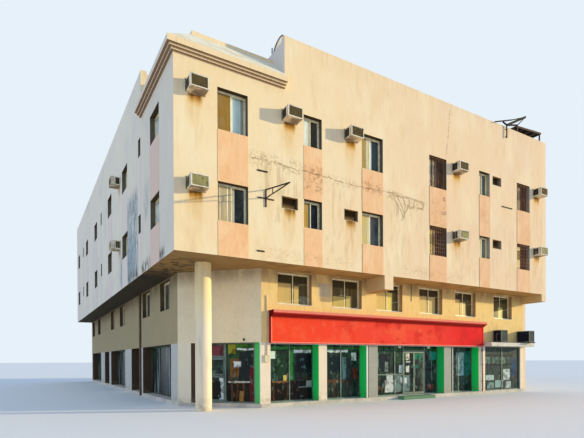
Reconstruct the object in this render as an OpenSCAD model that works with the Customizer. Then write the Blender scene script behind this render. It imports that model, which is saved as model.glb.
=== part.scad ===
// Corner shop building: shops and a mezzanine set back under two overhanging storeys of flats.
// Millimetres. The street corner of the upper storeys is the setting-out point of every module, and
// the whole building is then moved so that the foot of the round corner column is the origin.

/* [Plan] */
// Length of the front, along the main street
front_len = 20850; // [19000:50:24000]
// Length of the side, along the side street
side_len = 31200; // [28000:50:33000]
// How far the shops are set back under the upper storeys
setback = 1200; // [1000:10:1500]
// Leg of the cut corner, measured along each shop front
chamfer_leg = 2540; // [2300:10:2900]
// Thickness of the outer walls
wall_t = 250; // [200:10:300]
// Depth of the shop piers, which is also how deep the shop glass is set in
pier_t = 500; // [450:10:600]

/* [Heights] */
// Thickness of the ground slab
plinth_h = 150; // [100:10:200]
// Height of the shop openings' heads above the ground
shop_head = 2560; // [2400:10:2700]
// Height of the mezzanine floor above the ground
mezzanine_z = 3200; // [3050:10:3400]
// Height of the underside of the overhang above the ground
soffit_z = 5440; // [5300:10:5700]
// Height of an upper storey
storey_h = 3200; // [3100:10:3400]
// Thickness of the upper floor slabs
slab_t = 250; // [200:10:300]
// Thickness of the mezzanine floor
mezzanine_t = 200; // [150:10:220]
// Height of the parapet above the roof
parapet_h = 1770; // [1650:10:2000]

/* [Upper windows] */
// Width of a wide window
wide_w = 1140; // [1000:10:1200]
// Height of a wide window
wide_h = 1430; // [1200:10:1500]
// Width of a small window
small_w = 830; // [600:10:900]
// Height of a small window
small_h = 1170; // [900:10:1250]
// How much less high the windows of the first storey's front are
low_less = 90; // [0:10:120]
// Width of a wide window on the side
side_wide_w = 1350; // [1000:10:1450]
// Width of a small window on the side
side_small_w = 450; // [400:10:700]
// Height of the wide windows on the side
side_win_h = 1130; // [900:10:1400]
// Height of the small windows on the side
side_small_h = 780; // [600:10:1000]
// Height of the window heads above the underside of their storey's slab
head_in = 2530; // [2400:10:2650]
// Thickness of a painted panel over and under the windows
panel_t = 12; // [8:2:30]
// Face width of a window's outer frame
frame_w = 35; // [30:5:60]
// Depth of a window frame
frame_t = 60; // [56:2:80]
// Face width of a sliding sash's bars
sash_w = 40; // [30:2:60]
// Depth of a sliding sash
sash_t = 22; // [18:1:24]
// Thickness of the window glass
glass_t = 8; // [6:1:12]

/* [Mezzanine windows] */
// Width of a mezzanine window
mezz_win_w = 1600; // [1400:10:1700]
// Height of a mezzanine window
mezz_win_h = 1290; // [1000:10:1300]
// Height of the mezzanine window heads above the ground
mezz_head = 5390; // [5200:10:5400]

/* [Air conditioners] */
// Width of a wall sleeve
sleeve_w = 680; // [660:10:740]
// Height of a wall sleeve
sleeve_h = 430; // [420:10:460]
// Height of the sleeves above the underside of their storey's slab
sleeve_in = 2040; // [1900:10:2090]
// Width of an air conditioner
unit_w = 620; // [560:10:640]
// Height of an air conditioner
unit_h = 410; // [380:10:410]
// How far an air conditioner stands out of the wall
unit_out = 450; // [400:10:550]
// Width of the rim round an air conditioner's grille
unit_rim = 35; // [25:5:50]
// Depth of the recess that holds the grille
unit_recess = 30; // [15:5:60]
// Length of the air slots in an air conditioner's sides
slot_len = 240; // [150:10:300]
// Height of an air slot
slot_h = 22; // [14:2:30]

/* [Corner] */
// Radius of the corner column
column_r = 300; // [250:10:350]
// Distance of the column's centre in from both upper walls
column_in = 1500; // [1300:10:1600]
// Length of the cornice along the front
cornice_front = 4150; // [3800:10:4400]
// Length of the cornice along the side
cornice_side = 4700; // [4400:10:5000]
// How far the cornice stands out
cornice_out = 260; // [200:10:300]
// Height of the cornice's face
fascia_h = 200; // [160:10:300]
// Height of one of the steps under the cornice's face
cornice_step_h = 65; // [40:5:80]
// Height of the sloping roof behind the cornice
slope_h = 1110; // [950:10:1200]
// Plan depth of the sloping roof
slope_d = 1190; // [1000:10:1300]
// Thickness of the sloping roof, and of its top curb
slope_t = 150; // [120:10:200]
// Height of the curb on top of the slope
curb_h = 140; // [100:10:200]
// How much lower the high return walls are than the parapet
return_less = 130; // [0:10:200]

/* [Doors] */
// Width of one leaf of the shop's double door
leaf_w = 690; // [600:10:750]
// Height of the shop's door leaves
leaf_h = 2100; // [2000:10:2150]
// Width of the corner door's leaf
corner_leaf_w = 1020; // [900:10:1100]
// Height of the corner door's leaf
corner_leaf_h = 1800; // [1700:10:1900]
// Thickness of a door leaf
leaf_t = 44; // [40:2:50]
// Width of a leaf's stiles
stile_w = 50; // [50:5:90]
// Gap round a door leaf
leaf_gap = 14; // [12:1:18]
// Radius of a floor or head pivot
pivot_r = 10; // [8:1:12]
// Clearance round a pivot
pivot_play = 0.5; // [0.3:0.1:1]

/* [Sign] */
// Left end of the sign box, from the street corner
sign_x = 4080; // [3950:10:4200]
// Distance of the sign box's far end from the party wall's outer face
sign_back = 4000; // [3950:10:4800]
// Height of the sign box
sign_h = 1030; // [900:10:1100]
// Depth of the sign box
sign_t = 170; // [120:10:350]
// Height of the sign's projecting top
sign_top_h = 260; // [200:10:320]
// How far the sign's top stands out past the box
sign_top_out = 230; // [150:10:300]
// Height of one of the steps under the face of the sign's top
sign_step_h = 50; // [30:5:60]

/* [Hidden] */
$fn = 48;

// Levels above the ground
first_z = soffit_z + slab_t;
second_z = first_z + storey_h;
roof_z = second_z + storey_h;
storey_wall_h = storey_h - slab_t;
cornice_z = roof_z - 220;
parapet_z = roof_z + parapet_h;

// Places along the front, measured from the street corner
wide_in = [1510, 7780];
wide_back = [9160, 2640];
small_in = [4970];
small_back = [5690];
sleeve_at_in = [400, 4015, 6880];
sleeve_at_back = [7650, 4640, 1210];

// Places counted in from the street corner and back from the far end, as one list
function from_both(ins, backs) = concat(ins, [for (b = backs) front_len - b]);

// A window is its start, its width, its height, and how much less high it is on the first storey
front_windows = concat([for (x = from_both(wide_in, wide_back)) [x, wide_w, wide_h, low_less]],
    [for (x = from_both(small_in, small_back)) [x, small_w, small_h, low_less]]);
front_sleeve_at = from_both(sleeve_at_in, sleeve_at_back);
// Which sleeves hold an air conditioner on the lower and on the upper storey
front_units = [[0, 3, 5], [0, 1, 2, 3, 5]];
// Shop openings along the front: start, width and how deep the glass is set in. The one with the door takes up
// what is left, and the last one's glass is near the wall's face.
glass_y = pier_t - frame_t;
flush_y = 60;
shop_in = [4140, 6840, 9650];
shop_w = [2280, 2140];
shop_back = [6310, 3630];
shop_back_w = [2160, 3130];
pier_w = 520;
door_shop = 2;
front_shops = [[shop_in[0], shop_w[0], glass_y], [shop_in[1], shop_w[1], glass_y],
    [shop_in[2], front_len - shop_back[0] - pier_w - shop_in[2], glass_y],
    [front_len - shop_back[0], shop_back_w[0], glass_y], [front_len - shop_back[1], shop_back_w[1], flush_y]];
door_mid_back = 1640;
door_mid = front_shops[door_shop][0] + front_shops[door_shop][1] - door_mid_back;
// Mezzanine windows: over the other shops one each, over the door's shop as many as fit
mezz_in = [4480, 7130];
mezz_back = [6000, 2890];
mezz_start = -70;
mezz_pitch = 2720;
front_mezz_at = concat(from_both(mezz_in, mezz_back),
    [for (i = [0:floor((front_shops[door_shop][1] - mezz_start - mezz_win_w) / mezz_pitch)])
        front_shops[door_shop][0] + mezz_start + i * mezz_pitch]);

// Places along the side: the flats are mirrored about side_flat, and the shops repeat at side_bay
side_flat = 10580;
side_in = [1830, 4840, 7670];
side_w = [side_wide_w, side_small_w, side_wide_w];
side_h = [side_win_h, side_small_h, side_win_h];
side_end = side_len - wall_t - 100;
side_flats = concat([for (i = [0:2]) [side_in[i], side_w[i], side_h[i], 0]],
    [for (i = [0:2]) [2 * side_flat - side_in[i] - side_w[i], side_w[i], side_h[i], 0]],
    [for (i = [0:2]) [2 * side_flat + side_in[i], side_w[i], side_h[i], 0]]);
side_windows = [for (w = side_flats) if (w[0] + w[1] < side_end) w];
side_sleeve_at = [9400];
side_bay = 10300;
side_mezz_in = [4890, 8500];
side_shop_in = [4750, 10920];
side_shop_w = [5350, 2160];
side_mezz_at = [for (i = [0:2]) for (y = side_mezz_in) if (y + i * side_bay + mezz_win_w < side_end) y + i * side_bay];
side_shops = [for (i = [0:2]) for (k = [0, 1])
    if (side_shop_in[k] + i * side_bay + side_shop_w[k] < side_end) [side_shop_in[k] + i * side_bay, side_shop_w[k]]];

// The cut corner. Its opening's jambs are splayed, so that they close in as much as the glass is set in.
face_len = chamfer_leg * sqrt(2);
corner_before = 590;
corner_after = 72;
corner_glass_in = 300;
corner_end = face_len - corner_after;
corner_start = corner_before + corner_glass_in;
inset_slip = sqrt(2) - 1;

// Overhang beams along the front: start, width and drop
beams = [[9000, 490, 590], [front_len - 390, 390, 390]];

// Shop frames and door pivots
bar = 50;
transom_z = plinth_h + leaf_h + 2 * leaf_gap;
leaf_z = plinth_h + leaf_gap;
pane_t = 10;
pivot_in = 26;
pivot_len = 60;
pivot_short = 20;
corner_transom_z = plinth_h + corner_leaf_h + 2 * leaf_gap;
head_rail = 80;
foot_rail = 110;
// Height of the mid rails above the shop's floor: in the corner door, and in the panes left of the double door
corner_rail_up = 1000;
pane_rail_up = 975;
seal = 2;
track_gap = 4;
seat = 2;

// The doors' handles
grip_z = 850;
grip_len = 450;
grip_out = 45;
grip_r = 12;
grip_stem_r = 9;

// The step, the ledge and what stands on it
step_back = 1480;
step_w = 2060;
step_d = 380;
ledge_back = 3850;
ledge_w = 3800;
ledge_out = 560;
ledge_t = 200;
ledge_x = front_len - ledge_back;
// The condensers: how far in on the ledge, width and depth
condenser_set = [[855, 560, 490], [2970, 470, 750]];
condenser_h = 630;
condenser_gap = 40;
condenser_rim = 35;
condenser_recess = 25;
foot_h = 50;
foot_w = 60;
foot_in = 40;

// Air slots in the sides of the window air conditioners
slots = 5;
slot_pitch = 55;
slot_foot = 70;
slot_depth = 14;
slot_from_wall = 40;

// The roof canopy, which rises toward the party wall
canopy_back = 2250;
canopy_w = 2250;
canopy_d = 1500;
canopy_z = 14290;
canopy_rise = 170;
post_w = 60;
rail_w = 50;
rail_h = 70;
rails = 5;
sheet_t = 25;
post_lap = 10;
canopy_x = front_len - canopy_back;

// The bracket on the front wall and the aerial mount on the parapet
bracket_x = 3340;
bracket_z = 7380;
bracket_h = 640;
bracket_out = 1740;
bracket_t = 40;
arm_t = 36;
chord_t = 30;
hanger_t = 24;
hanger_share = 0.3;
cross_t = 34;
cross_len = 660;
// The mount's points are given from the post's axis and the parapet's top
aerial_back = 3600;
aerial_z = 13250;
aerial_t = 45;
aerial_off = 60;
aerial_top = 55;
aerial_hub = [0, 40];
aerial_left = [-960, -40];
aerial_bend = [430, 420];
aerial_tip = [1560, 860];
aerial_elbow = [900, 270];
aerial_stub = [-310, 130];
wing_t = 50;
tail_t = 42;
boom_t = 110;
brace_t = 64;
stay_t = 36;
stub_t = 58;
clamp_t = 30;
clamp_up = [60, 450];

// The dish behind the corner's high wall
dish_r = 450;
dish_depth = 110;
dish_t = 15;
dish_in = 850;
dish_y = 1740;
dish_up = 2615;
dish_tilt = 60;
dish_turn = 150;
feed_top = [180, 0, 336];
feed_foot = [353, 0, 236];
feed_t = 70;
mast_r = 25;

plaster = "#ECD9AE";
salmon = "#EDBE9A";
shade = "#CFC6AE";

// Moves the street corner's setting-out so that the column's foot is the origin
module on_site() translate([-column_in, -column_in, 0]) children();

// Outline of the set-back storeys, moved in from its outer faces
module footprint(inset = 0) {
    low = setback + inset;
    cut = setback + chamfer_leg + inset * inset_slip;
    polygon([[low, cut], [cut, low], [front_len - inset, low], [front_len - inset, side_len - inset],
        [low, side_len - inset]]);
}

// A stretch of the set-back wall ring between two depths
module ring(outer, inner, z, h) {
    translate([0, 0, z]) difference() {
        linear_extrude(h) footprint(outer);
        translate([0, 0, -1]) linear_extrude(h + 2) footprint(inner);
    }
}

module block(x, y, z, w, d, h) translate([x, y, z]) cube([w, d, h]);

// Places children on the cut corner: x runs along the face, y goes in
module at_corner() translate([setback, setback + chamfer_leg, 0]) rotate([0, 0, -45]) children();

// Places children on the side: x runs along the side from the street corner, y goes in
module at_side(in = 0) translate([in, 0, 0]) mirror([1, -1, 0]) children();

// Places children on the rear: x runs along the rear, y goes in from its outer face
module at_rear() translate([0, side_len, 0]) mirror([0, 1, 0]) children();

function win_h(w, level) = w[2] - (level == 0 ? w[3] : 0);
function window_z(h, level) = soffit_z + level * storey_h + head_in - h;

// Edge of a stepped moulding that goes out and then up, step by step
function steps_out(y, z, out, steps, up) = [for (i = [0:steps - 1]) for (end = [0, 1])
    [y - (i + end) * out / steps, z + i * up]];

// Window and sleeve holes of one storey, through a wall whose outer face is at y = 0
module wall_holes(windows, sleeves, level) {
    for (w = windows) block(w[0], -1, window_z(win_h(w, level), level), w[1], wall_t + 2, win_h(w, level));
    for (x = sleeves)
        block(x, -1, soffit_z + level * storey_h + sleeve_in, sleeve_w, wall_t + 2, sleeve_h);
}

module storey_wall(start, len, level, windows, sleeves) {
    difference() {
        block(start, 0, first_z + level * storey_h, len, wall_t, storey_wall_h);
        wall_holes(windows, sleeves, level);
    }
}

module front_storey(level)
    color(plaster) storey_wall(0, front_len - wall_t, level, front_windows, front_sleeve_at);
module side_storey(level)
    color(shade) at_side() storey_wall(wall_t, side_len - 2 * wall_t, level, side_windows, side_sleeve_at);
module rear_storey(level) at_rear() storey_wall(0, front_len - wall_t, level, front_windows, []);

// Painted panels under each window of the column, from the overhang's edge to the upper sill
module panel_column(w) {
    low = win_h(w, 0);
    block(w[0], -panel_t, soffit_z, w[1], panel_t, window_z(low, 0) - soffit_z);
    block(w[0], -panel_t, window_z(low, 0) + low, w[1], panel_t, storey_h - win_h(w, 1));
}

// A flat frame of bars
module border(w, h, t, b) difference() {
    cube([w, t, h]);
    translate([b, -1, b]) cube([w - 2 * b, t + 2, h - 2 * b]);
}

// Places children at each of a window's two sliding sashes, one in each track, with their meeting bars in line
function sash_len(w) = (w - 2 * frame_w + sash_w) / 2 + seat;
module at_sashes(w)
    for (track = [0, 1])
        translate([frame_w - seat + track * (w - 2 * frame_w + 2 * seat - sash_len(w)),
            track_gap + track * frame_t / 2, frame_w - seat]) children();

module window_frame(w, h) {
    border(w, h, frame_t, frame_w);
    at_sashes(w) border(sash_len(w), h - 2 * frame_w + 2 * seat, sash_t, sash_w);
}

module window_panes(w, h)
    at_sashes(w) translate([sash_w, (sash_t - glass_t) / 2, sash_w])
        cube([sash_len(w) - 2 * sash_w, glass_t, h - 2 * frame_w + 2 * seat - 2 * sash_w]);

// One window's frame or its glass, in a hole through a wall whose outer face is at y = 0
module window(x, z, w, h, glass) translate([x, wall_t - frame_t, z]) {
    if (glass) window_panes(w, h);
    else window_frame(w, h);
}

module storey_windows(windows, level, glass)
    for (w = windows) window(w[0], window_z(win_h(w, level), level), w[1], win_h(w, level), glass);

module upper_windows(glass) {
    for (level = [0, 1]) {
        storey_windows(front_windows, level, glass);
        at_side() storey_windows(side_windows, level, glass);
        at_rear() storey_windows(front_windows, level, glass);
    }
}

module mezzanine_row(places, glass)
    for (x = places) window(x, mezz_head - mezz_win_h, mezz_win_w, mezz_win_h, glass);

module mezzanine_windows(glass) {
    translate([0, setback, 0]) mezzanine_row(front_mezz_at, glass);
    at_side(setback) mezzanine_row(side_mezz_at, glass);
    at_rear() mezzanine_row(front_mezz_at, glass);
}

module mezzanine_holes(places)
    for (x = places) block(x, -1, mezz_head - mezz_win_h, mezz_win_w, wall_t + 2, mezz_win_h);

// Ground and floors
module ground_slab() color("#C9C2B2") linear_extrude(plinth_h) footprint();
module entrance_step() color("#2E8B57")
    block(door_mid - step_back, setback - step_d, 0, step_w, step_d, plinth_h);
module mezzanine_slab() color("#BDB8AC")
    translate([0, 0, mezzanine_z - mezzanine_t]) linear_extrude(mezzanine_t) footprint(wall_t);
module floor_slab(z) color(plaster) block(0, 0, z - slab_t, front_len - wall_t, side_len, slab_t);

// Ground-floor structure
module corner_column() color("#E6DCC0")
    translate([column_in, column_in, 0]) cylinder(h = soffit_z, r = column_r);

module pier_ring() ring(0, pier_t, plinth_h, shop_head - plinth_h);
module shop_holes(shops) for (s = shops) block(s[0], -1, plinth_h - 1, s[1], pier_t + 2, shop_head);

module front_piers() color("#E1CFB0") difference() {
    start = front_shops[0][0] + front_shops[0][1];
    block(start, setback, plinth_h, front_len - wall_t - start, pier_t, shop_head - plinth_h);
    translate([0, setback, 0]) shop_holes(front_shops);
}
module side_piers() color(shade) difference() {
    start = side_shops[0][0] + side_shops[0][1];
    at_side(setback) block(start, 0, plinth_h, side_len - wall_t - start, pier_t, shop_head - plinth_h);
    at_side(setback) shop_holes(side_shops);
}
module corner_piers() color(shade) difference() {
    intersection() {
        pier_ring();
        block(0, 0, 0, front_shops[0][0], side_shops[0][0], shop_head);
    }
    at_corner() linear_extrude(shop_head + 1) polygon([[corner_before - 1, -1], [corner_start, corner_glass_in],
        [corner_start, pier_t + 1], [corner_end - corner_glass_in, pier_t + 1],
        [corner_end - corner_glass_in, corner_glass_in], [corner_end + 1, -1]]);
}

// Lintels behind the street walls, from the party wall round the corner to the rear wall
module shop_lintels() color("#D8C8A6") intersection() {
    ring(wall_t, pier_t, shop_head, mezzanine_z - mezzanine_t - shop_head);
    union() {
        block(0, 0, 0, front_len - wall_t, setback + pier_t, soffit_z);
        block(0, 0, 0, setback + pier_t, side_len - wall_t, soffit_z);
        block(0, 0, 0, front_shops[0][0], side_shops[0][0], soffit_z);
    }
}

module front_lower_wall() color("#E3BB78") difference() {
    block(front_shops[0][0], setback, shop_head, front_len - wall_t - front_shops[0][0], wall_t,
        soffit_z - shop_head);
    translate([0, setback, 0]) mezzanine_holes(front_mezz_at);
}
module side_lower_wall() color(shade) difference() {
    at_side(setback) block(side_shops[0][0], 0, shop_head, side_len - wall_t - side_shops[0][0], wall_t,
        soffit_z - shop_head);
    at_side(setback) mezzanine_holes(side_mezz_at);
}
module corner_lower_wall() color(shade) intersection() {
    ring(0, wall_t, shop_head, soffit_z - shop_head);
    block(0, 0, 0, front_shops[0][0], side_shops[0][0], soffit_z);
}
module rear_walls() color(plaster) {
    difference() {
        at_rear() block(setback, 0, plinth_h, front_len - wall_t - setback, wall_t, soffit_z - plinth_h);
        at_rear() mezzanine_holes(front_mezz_at);
    }
    rear_storey(0);
    rear_storey(1);
}
module party_wall() color("#B9B2A4") {
    block(front_len - wall_t, setback, plinth_h, wall_t, side_len - setback, soffit_z - plinth_h);
    block(front_len - wall_t, 0, soffit_z, wall_t, side_len, parapet_z - soffit_z);
}
module overhang_beams() color(plaster)
    for (b = beams) block(b[0], 0, soffit_z - b[2], b[1], setback, b[2]);

// Corner cornice and sloping roof: one profile, mitred round the street corner. Steps go out under the face,
// and the slope's underside runs parallel to its top down to the roof.
cornice_steps = 3;
face_z = cornice_z + (cornice_steps - 1) * cornice_step_h;
slope_top = face_z + fascia_h + slope_h;
module cornice_profile() {
    out = cornice_out;
    slope_in = slope_d - out;
    under_z = slope_top - slope_t * norm([slope_d, slope_h]) / slope_d;
    polygon(concat(steps_out(0, cornice_z, out, cornice_steps, cornice_step_h),
        [[-out, face_z + fascia_h], [slope_in, slope_top], [slope_in, slope_top + curb_h],
        [slope_in + slope_t, slope_top + curb_h], [slope_in + slope_t, under_z],
        [slope_in + slope_t - (under_z - roof_z) * slope_d / slope_h, roof_z], [0, roof_z]]));
}
module cornice_run(len) intersection() {
    translate([-cornice_out, 0, 0]) rotate([90, 0, 90]) linear_extrude(len + cornice_out) cornice_profile();
    linear_extrude(2 * parapet_z) polygon([[-len, -len], [2 * len, -len], [2 * len, 2 * len]]);
}
module corner_roof() color("#E9CFA6") {
    cornice_run(cornice_front);
    mirror([1, -1, 0]) cornice_run(cornice_side);
}

// Parapets
module front_parapet() color(plaster)
    block(cornice_front, 0, roof_z, front_len - wall_t - cornice_front, wall_t, parapet_h);
module side_parapet() color(plaster)
    at_side() block(cornice_side, 0, roof_z, side_len - wall_t - cornice_side, wall_t, parapet_h);
module rear_parapet() color(plaster)
    at_rear() block(0, 0, roof_z, front_len - wall_t, wall_t, parapet_h);
module corner_return_wall() color(plaster) {
    block(cornice_front, wall_t, roof_z, wall_t, cornice_side, parapet_h - return_less);
    block(wall_t, cornice_side, roof_z, cornice_front, wall_t, parapet_h - return_less);
}

module front_panels() color(salmon) for (w = front_windows) panel_column(w);
module side_panels() color(salmon) at_side() for (w = side_windows) panel_column(w);

// Shop frames: a border with uprights at the given places
shop_frame_h = shop_head - plinth_h - seal;
module shop_frame(w, uprights) {
    h = shop_frame_h;
    difference() {
        cube([w, frame_t, h]);
        edges = concat([0], uprights, [w - bar]);
        for (i = [0:len(edges) - 2])
            translate([edges[i] + bar, -1, bar]) cube([edges[i + 1] - edges[i] - bar, frame_t + 2, h - 2 * bar]);
    }
}
module shop_panes(w, uprights) {
    h = shop_frame_h;
    edges = concat([0], uprights, [w - bar]);
    for (i = [0:len(edges) - 2])
        translate([edges[i] + bar, frame_t / 2, bar]) cube([edges[i + 1] - edges[i] - bar, pane_t, h - 2 * bar]);
}

// The double door's opening, clear of its frame, and the frame's parts each side of it
door_clear = 2 * leaf_w + 3 * leaf_gap;
door_x = door_mid - door_clear / 2;
door_shop_x = front_shops[door_shop][0];
door_shop_w = front_shops[door_shop][1];
left_pane_w = door_x - door_shop_x;
upright_back = 590;
left_uprights = left_pane_w > 2 * upright_back ? [left_pane_w - upright_back] : [];
mid_upright = 0.48;
right_pane_w = door_shop_x + door_shop_w - door_x - door_clear;

module transom(w, z) {
    difference() {
        block(0, 0, z, w, frame_t, shop_head - seal - z);
        block(bar, -1, z + bar, w - 2 * bar, frame_t + 2, shop_head - seal - z - 2 * bar);
    }
}
module transom_pane(w, z)
    block(bar, frame_t / 2, z + bar, w - 2 * bar, pane_t, shop_head - seal - z - 2 * bar);

module front_shop_frames() color("#C9CCCB") translate([0, setback, plinth_h]) {
    for (i = [0:len(front_shops) - 1]) if (i != door_shop) translate([front_shops[i][0], front_shops[i][2], 0])
        shop_frame(front_shops[i][1], [front_shops[i][1] * mid_upright]);
    translate([door_shop_x, glass_y, 0]) {
        shop_frame(left_pane_w, left_uprights);
        block(bar - 1, 0, pane_rail_up, left_pane_w - 2 * bar + 2, frame_t / 2, bar);
    }
    translate([door_x + door_clear, glass_y, 0]) shop_frame(right_pane_w, []);
}
module front_shop_glass() color("#2E4A48") translate([0, setback, plinth_h]) {
    for (i = [0:len(front_shops) - 1]) if (i != door_shop) translate([front_shops[i][0], front_shops[i][2], 0])
        shop_panes(front_shops[i][1], [front_shops[i][1] * mid_upright]);
    translate([door_shop_x, glass_y, 0]) shop_panes(left_pane_w, left_uprights);
    translate([door_x + door_clear, glass_y, 0]) shop_panes(right_pane_w, []);
    translate([door_x, glass_y, -plinth_h]) transom_pane(door_clear, transom_z);
}

// The frames over the two doors
module door_transoms() color("#C9CCCB") {
    translate([door_x, setback + glass_y, 0]) transom(door_clear, transom_z);
    at_corner() translate([corner_start, corner_glass_in, 0]) transom(corner_clear, corner_transom_z);
}

// The corner shop: the door under its transom, and the display pane
corner_clear = corner_leaf_w + 2 * leaf_gap;
corner_pane_x = corner_start + corner_clear;
corner_pane_w = corner_end - corner_glass_in - corner_pane_x;
module corner_shop_frame() color("#B9BDBA")
    at_corner() translate([corner_pane_x, corner_glass_in, plinth_h]) shop_frame(corner_pane_w, []);
module corner_shop_glass() color("#2E4A48") at_corner() translate([0, corner_glass_in, 0]) {
    translate([corner_pane_x, 0, plinth_h]) shop_panes(corner_pane_w, []);
    translate([corner_start, 0, 0]) transom_pane(corner_clear, corner_transom_z);
}
// Uprights that part a shop's width into equal panes no wider than pane_max
pane_max = 1900;
function even_uprights(w) = let (n = ceil(w / pane_max)) [for (i = [1:n - 1]) w * i / n - bar / 2];
module side_shop_frames() color("#8A8578") at_side(setback) translate([0, glass_y, plinth_h])
    for (s = side_shops) translate([s[0], 0, 0]) shop_frame(s[1], even_uprights(s[1]));
module side_shop_glass() color("#2E4A48") at_side(setback) translate([0, glass_y, plinth_h])
    for (s = side_shops) translate([s[0], 0, 0]) shop_panes(s[1], even_uprights(s[1]));

// Door leaves: hung at x = 0, running to x = w, and centred on their thickness
module leaf_frame(w, h) {
    difference() {
        translate([0, -leaf_t / 2, 0]) cube([w, leaf_t, h]);
        translate([stile_w, -leaf_t / 2 - 1, foot_rail])
            cube([w - 2 * stile_w, leaf_t + 2, h - foot_rail - head_rail]);
        for (z = [-1, h - pivot_len])
            translate([pivot_in, 0, z]) cylinder(h = pivot_len + 1, r = pivot_r + pivot_play);
    }
    for (side = [-1, 1]) translate([w - stile_w / 2, side * leaf_t / 2, grip_z]) {
        for (z = [0, grip_len])
            translate([0, 0, z]) rotate([side * -90, 0, 0]) translate([0, 0, -1])
                cylinder(h = grip_out + 1, r = grip_stem_r);
        translate([0, side * grip_out, -grip_stem_r - grip_r])
            cylinder(h = grip_len + 2 * (grip_stem_r + grip_r), r = grip_r);
    }
}
module leaf_pane(w, h)
    translate([stile_w, -pane_t / 2, foot_rail]) cube([w - 2 * stile_w, pane_t, h - foot_rail - head_rail]);
// A mid rail is two bars, one each side of the pane
module mid_rail(w, z) for (y = [-leaf_t / 2, pane_t / 2])
    translate([stile_w - 1, y, z]) cube([w - 2 * stile_w + 2, (leaf_t - pane_t) / 2, bar]);
module hang_left() translate([door_x + leaf_gap, setback + glass_y + frame_t / 2, leaf_z]) children();
module hang_right()
    translate([door_x + door_clear - leaf_gap, setback + glass_y + frame_t / 2, leaf_z]) mirror([1, 0, 0]) children();
module hang_corner()
    at_corner() translate([corner_start + leaf_gap, corner_glass_in + frame_t / 2, leaf_z]) children();

module door_left_leaf() color("#C9CCCB") hang_left() leaf_frame(leaf_w, leaf_h);
module door_left_glass() color("#2E4A48") hang_left() leaf_pane(leaf_w, leaf_h);
module door_right_leaf() color("#C9CCCB") hang_right() leaf_frame(leaf_w, leaf_h);
module door_right_glass() color("#2E4A48") hang_right() leaf_pane(leaf_w, leaf_h);
module corner_door_leaf() color("#8A8F8C") hang_corner() {
    leaf_frame(corner_leaf_w, corner_leaf_h);
    mid_rail(corner_leaf_w, corner_rail_up);
}
module corner_door_glass() color("#2E4A48") hang_corner() leaf_pane(corner_leaf_w, corner_leaf_h);

// A pivot at the foot and one at the head, each a little shorter than its hole is deep
module pivot_pair(h) for (z = [-leaf_gap, h - pivot_len + pivot_short])
    translate([pivot_in, 0, z]) cylinder(h = leaf_gap + pivot_len - pivot_short, r = pivot_r);
module door_pivots() color("#9A9A98") {
    hang_left() pivot_pair(leaf_h);
    hang_right() pivot_pair(leaf_h);
    hang_corner() pivot_pair(corner_leaf_h);
}

// The sign over the shops: a box with a raised edge under a stepped, projecting top
sign_drop = 30;
sign_z = shop_head - sign_drop;
sign_len = front_len - sign_back - sign_x;
sign_edge = 45;
sign_edge_out = 12;
sign_steps = 3;
module sign_box() color("#D8281E") {
    block(sign_x, setback - sign_t, sign_z, sign_len, sign_t, sign_h);
    translate([sign_x, setback - sign_t - sign_edge_out, sign_z])
        border(sign_len, sign_h, sign_edge_out + 1, sign_edge);
}
module sign_top() color("#E04A40") {
    z = sign_z + sign_h;
    y = setback - sign_t;
    translate([sign_x, 0, 0]) rotate([90, 0, 90]) linear_extrude(sign_len)
        polygon(concat([[setback, z]], steps_out(y, z, sign_top_out, sign_steps, sign_step_h),
            [[y - sign_top_out, z + sign_top_h], [setback, z + sign_top_h]]));
}

// The ledge over the last shop, with the condensers that stand on it
module condenser_ledge() color("#E4DFD2")
    block(ledge_x, setback - ledge_out, shop_head, ledge_w, ledge_out, ledge_t);
// A condenser: a casing on two feet, with a recessed coil in its front and in its left side
module condenser(w, d) {
    translate([0, 0, foot_h]) difference() {
        cube([w, d, condenser_h]);
        translate([condenser_rim, -1, condenser_rim])
            cube([w - 2 * condenser_rim, condenser_recess + 1, condenser_h - 2 * condenser_rim]);
        translate([-1, condenser_rim, condenser_rim])
            cube([condenser_recess + 1, d - 2 * condenser_rim, condenser_h - 2 * condenser_rim]);
    }
    for (x = [foot_in, w - foot_in - foot_w]) translate([x, 0, 0]) cube([foot_w, d, foot_h + 1]);
}
module condensers() color("#B8B8B2") for (c = condenser_set)
    translate([ledge_x + c[0], setback - condenser_gap - c[2], shop_head + ledge_t]) condenser(c[1], c[2]);

// A window air conditioner in its sleeve: a recessed grille outward and air slots in both sides
module unit(x, level)
    translate([x + (sleeve_w - unit_w) / 2, -unit_out, soffit_z + level * storey_h + sleeve_in]) difference() {
        cube([unit_w, unit_out + wall_t, unit_h]);
        translate([unit_rim, -1, unit_rim])
            cube([unit_w - 2 * unit_rim, unit_recess + 1, unit_h - 2 * unit_rim]);
        for (far = [0, 1]) for (i = [0:slots - 1])
            translate([far ? unit_w - slot_depth : -1, unit_out - slot_from_wall - slot_len,
                slot_foot + i * slot_pitch]) cube([slot_depth + 1, slot_len, slot_h]);
    }
module front_air_conditioners() color("#D5D2C4")
    for (level = [0, 1]) for (i = front_units[level]) unit(front_sleeve_at[i], level);
module side_air_conditioners() color("#D5D2C4")
    for (level = [0, 1]) for (x = side_sleeve_at) at_side() unit(x, level);

// A square bar between two points
module strut(a, b, t) {
    d = b - a;
    translate(a) rotate([0, acos(d[2] / norm(d)), atan2(d[1], d[0])]) translate([-t / 2, -t / 2, 0])
        cube([t, t, norm(d)]);
}

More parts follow.
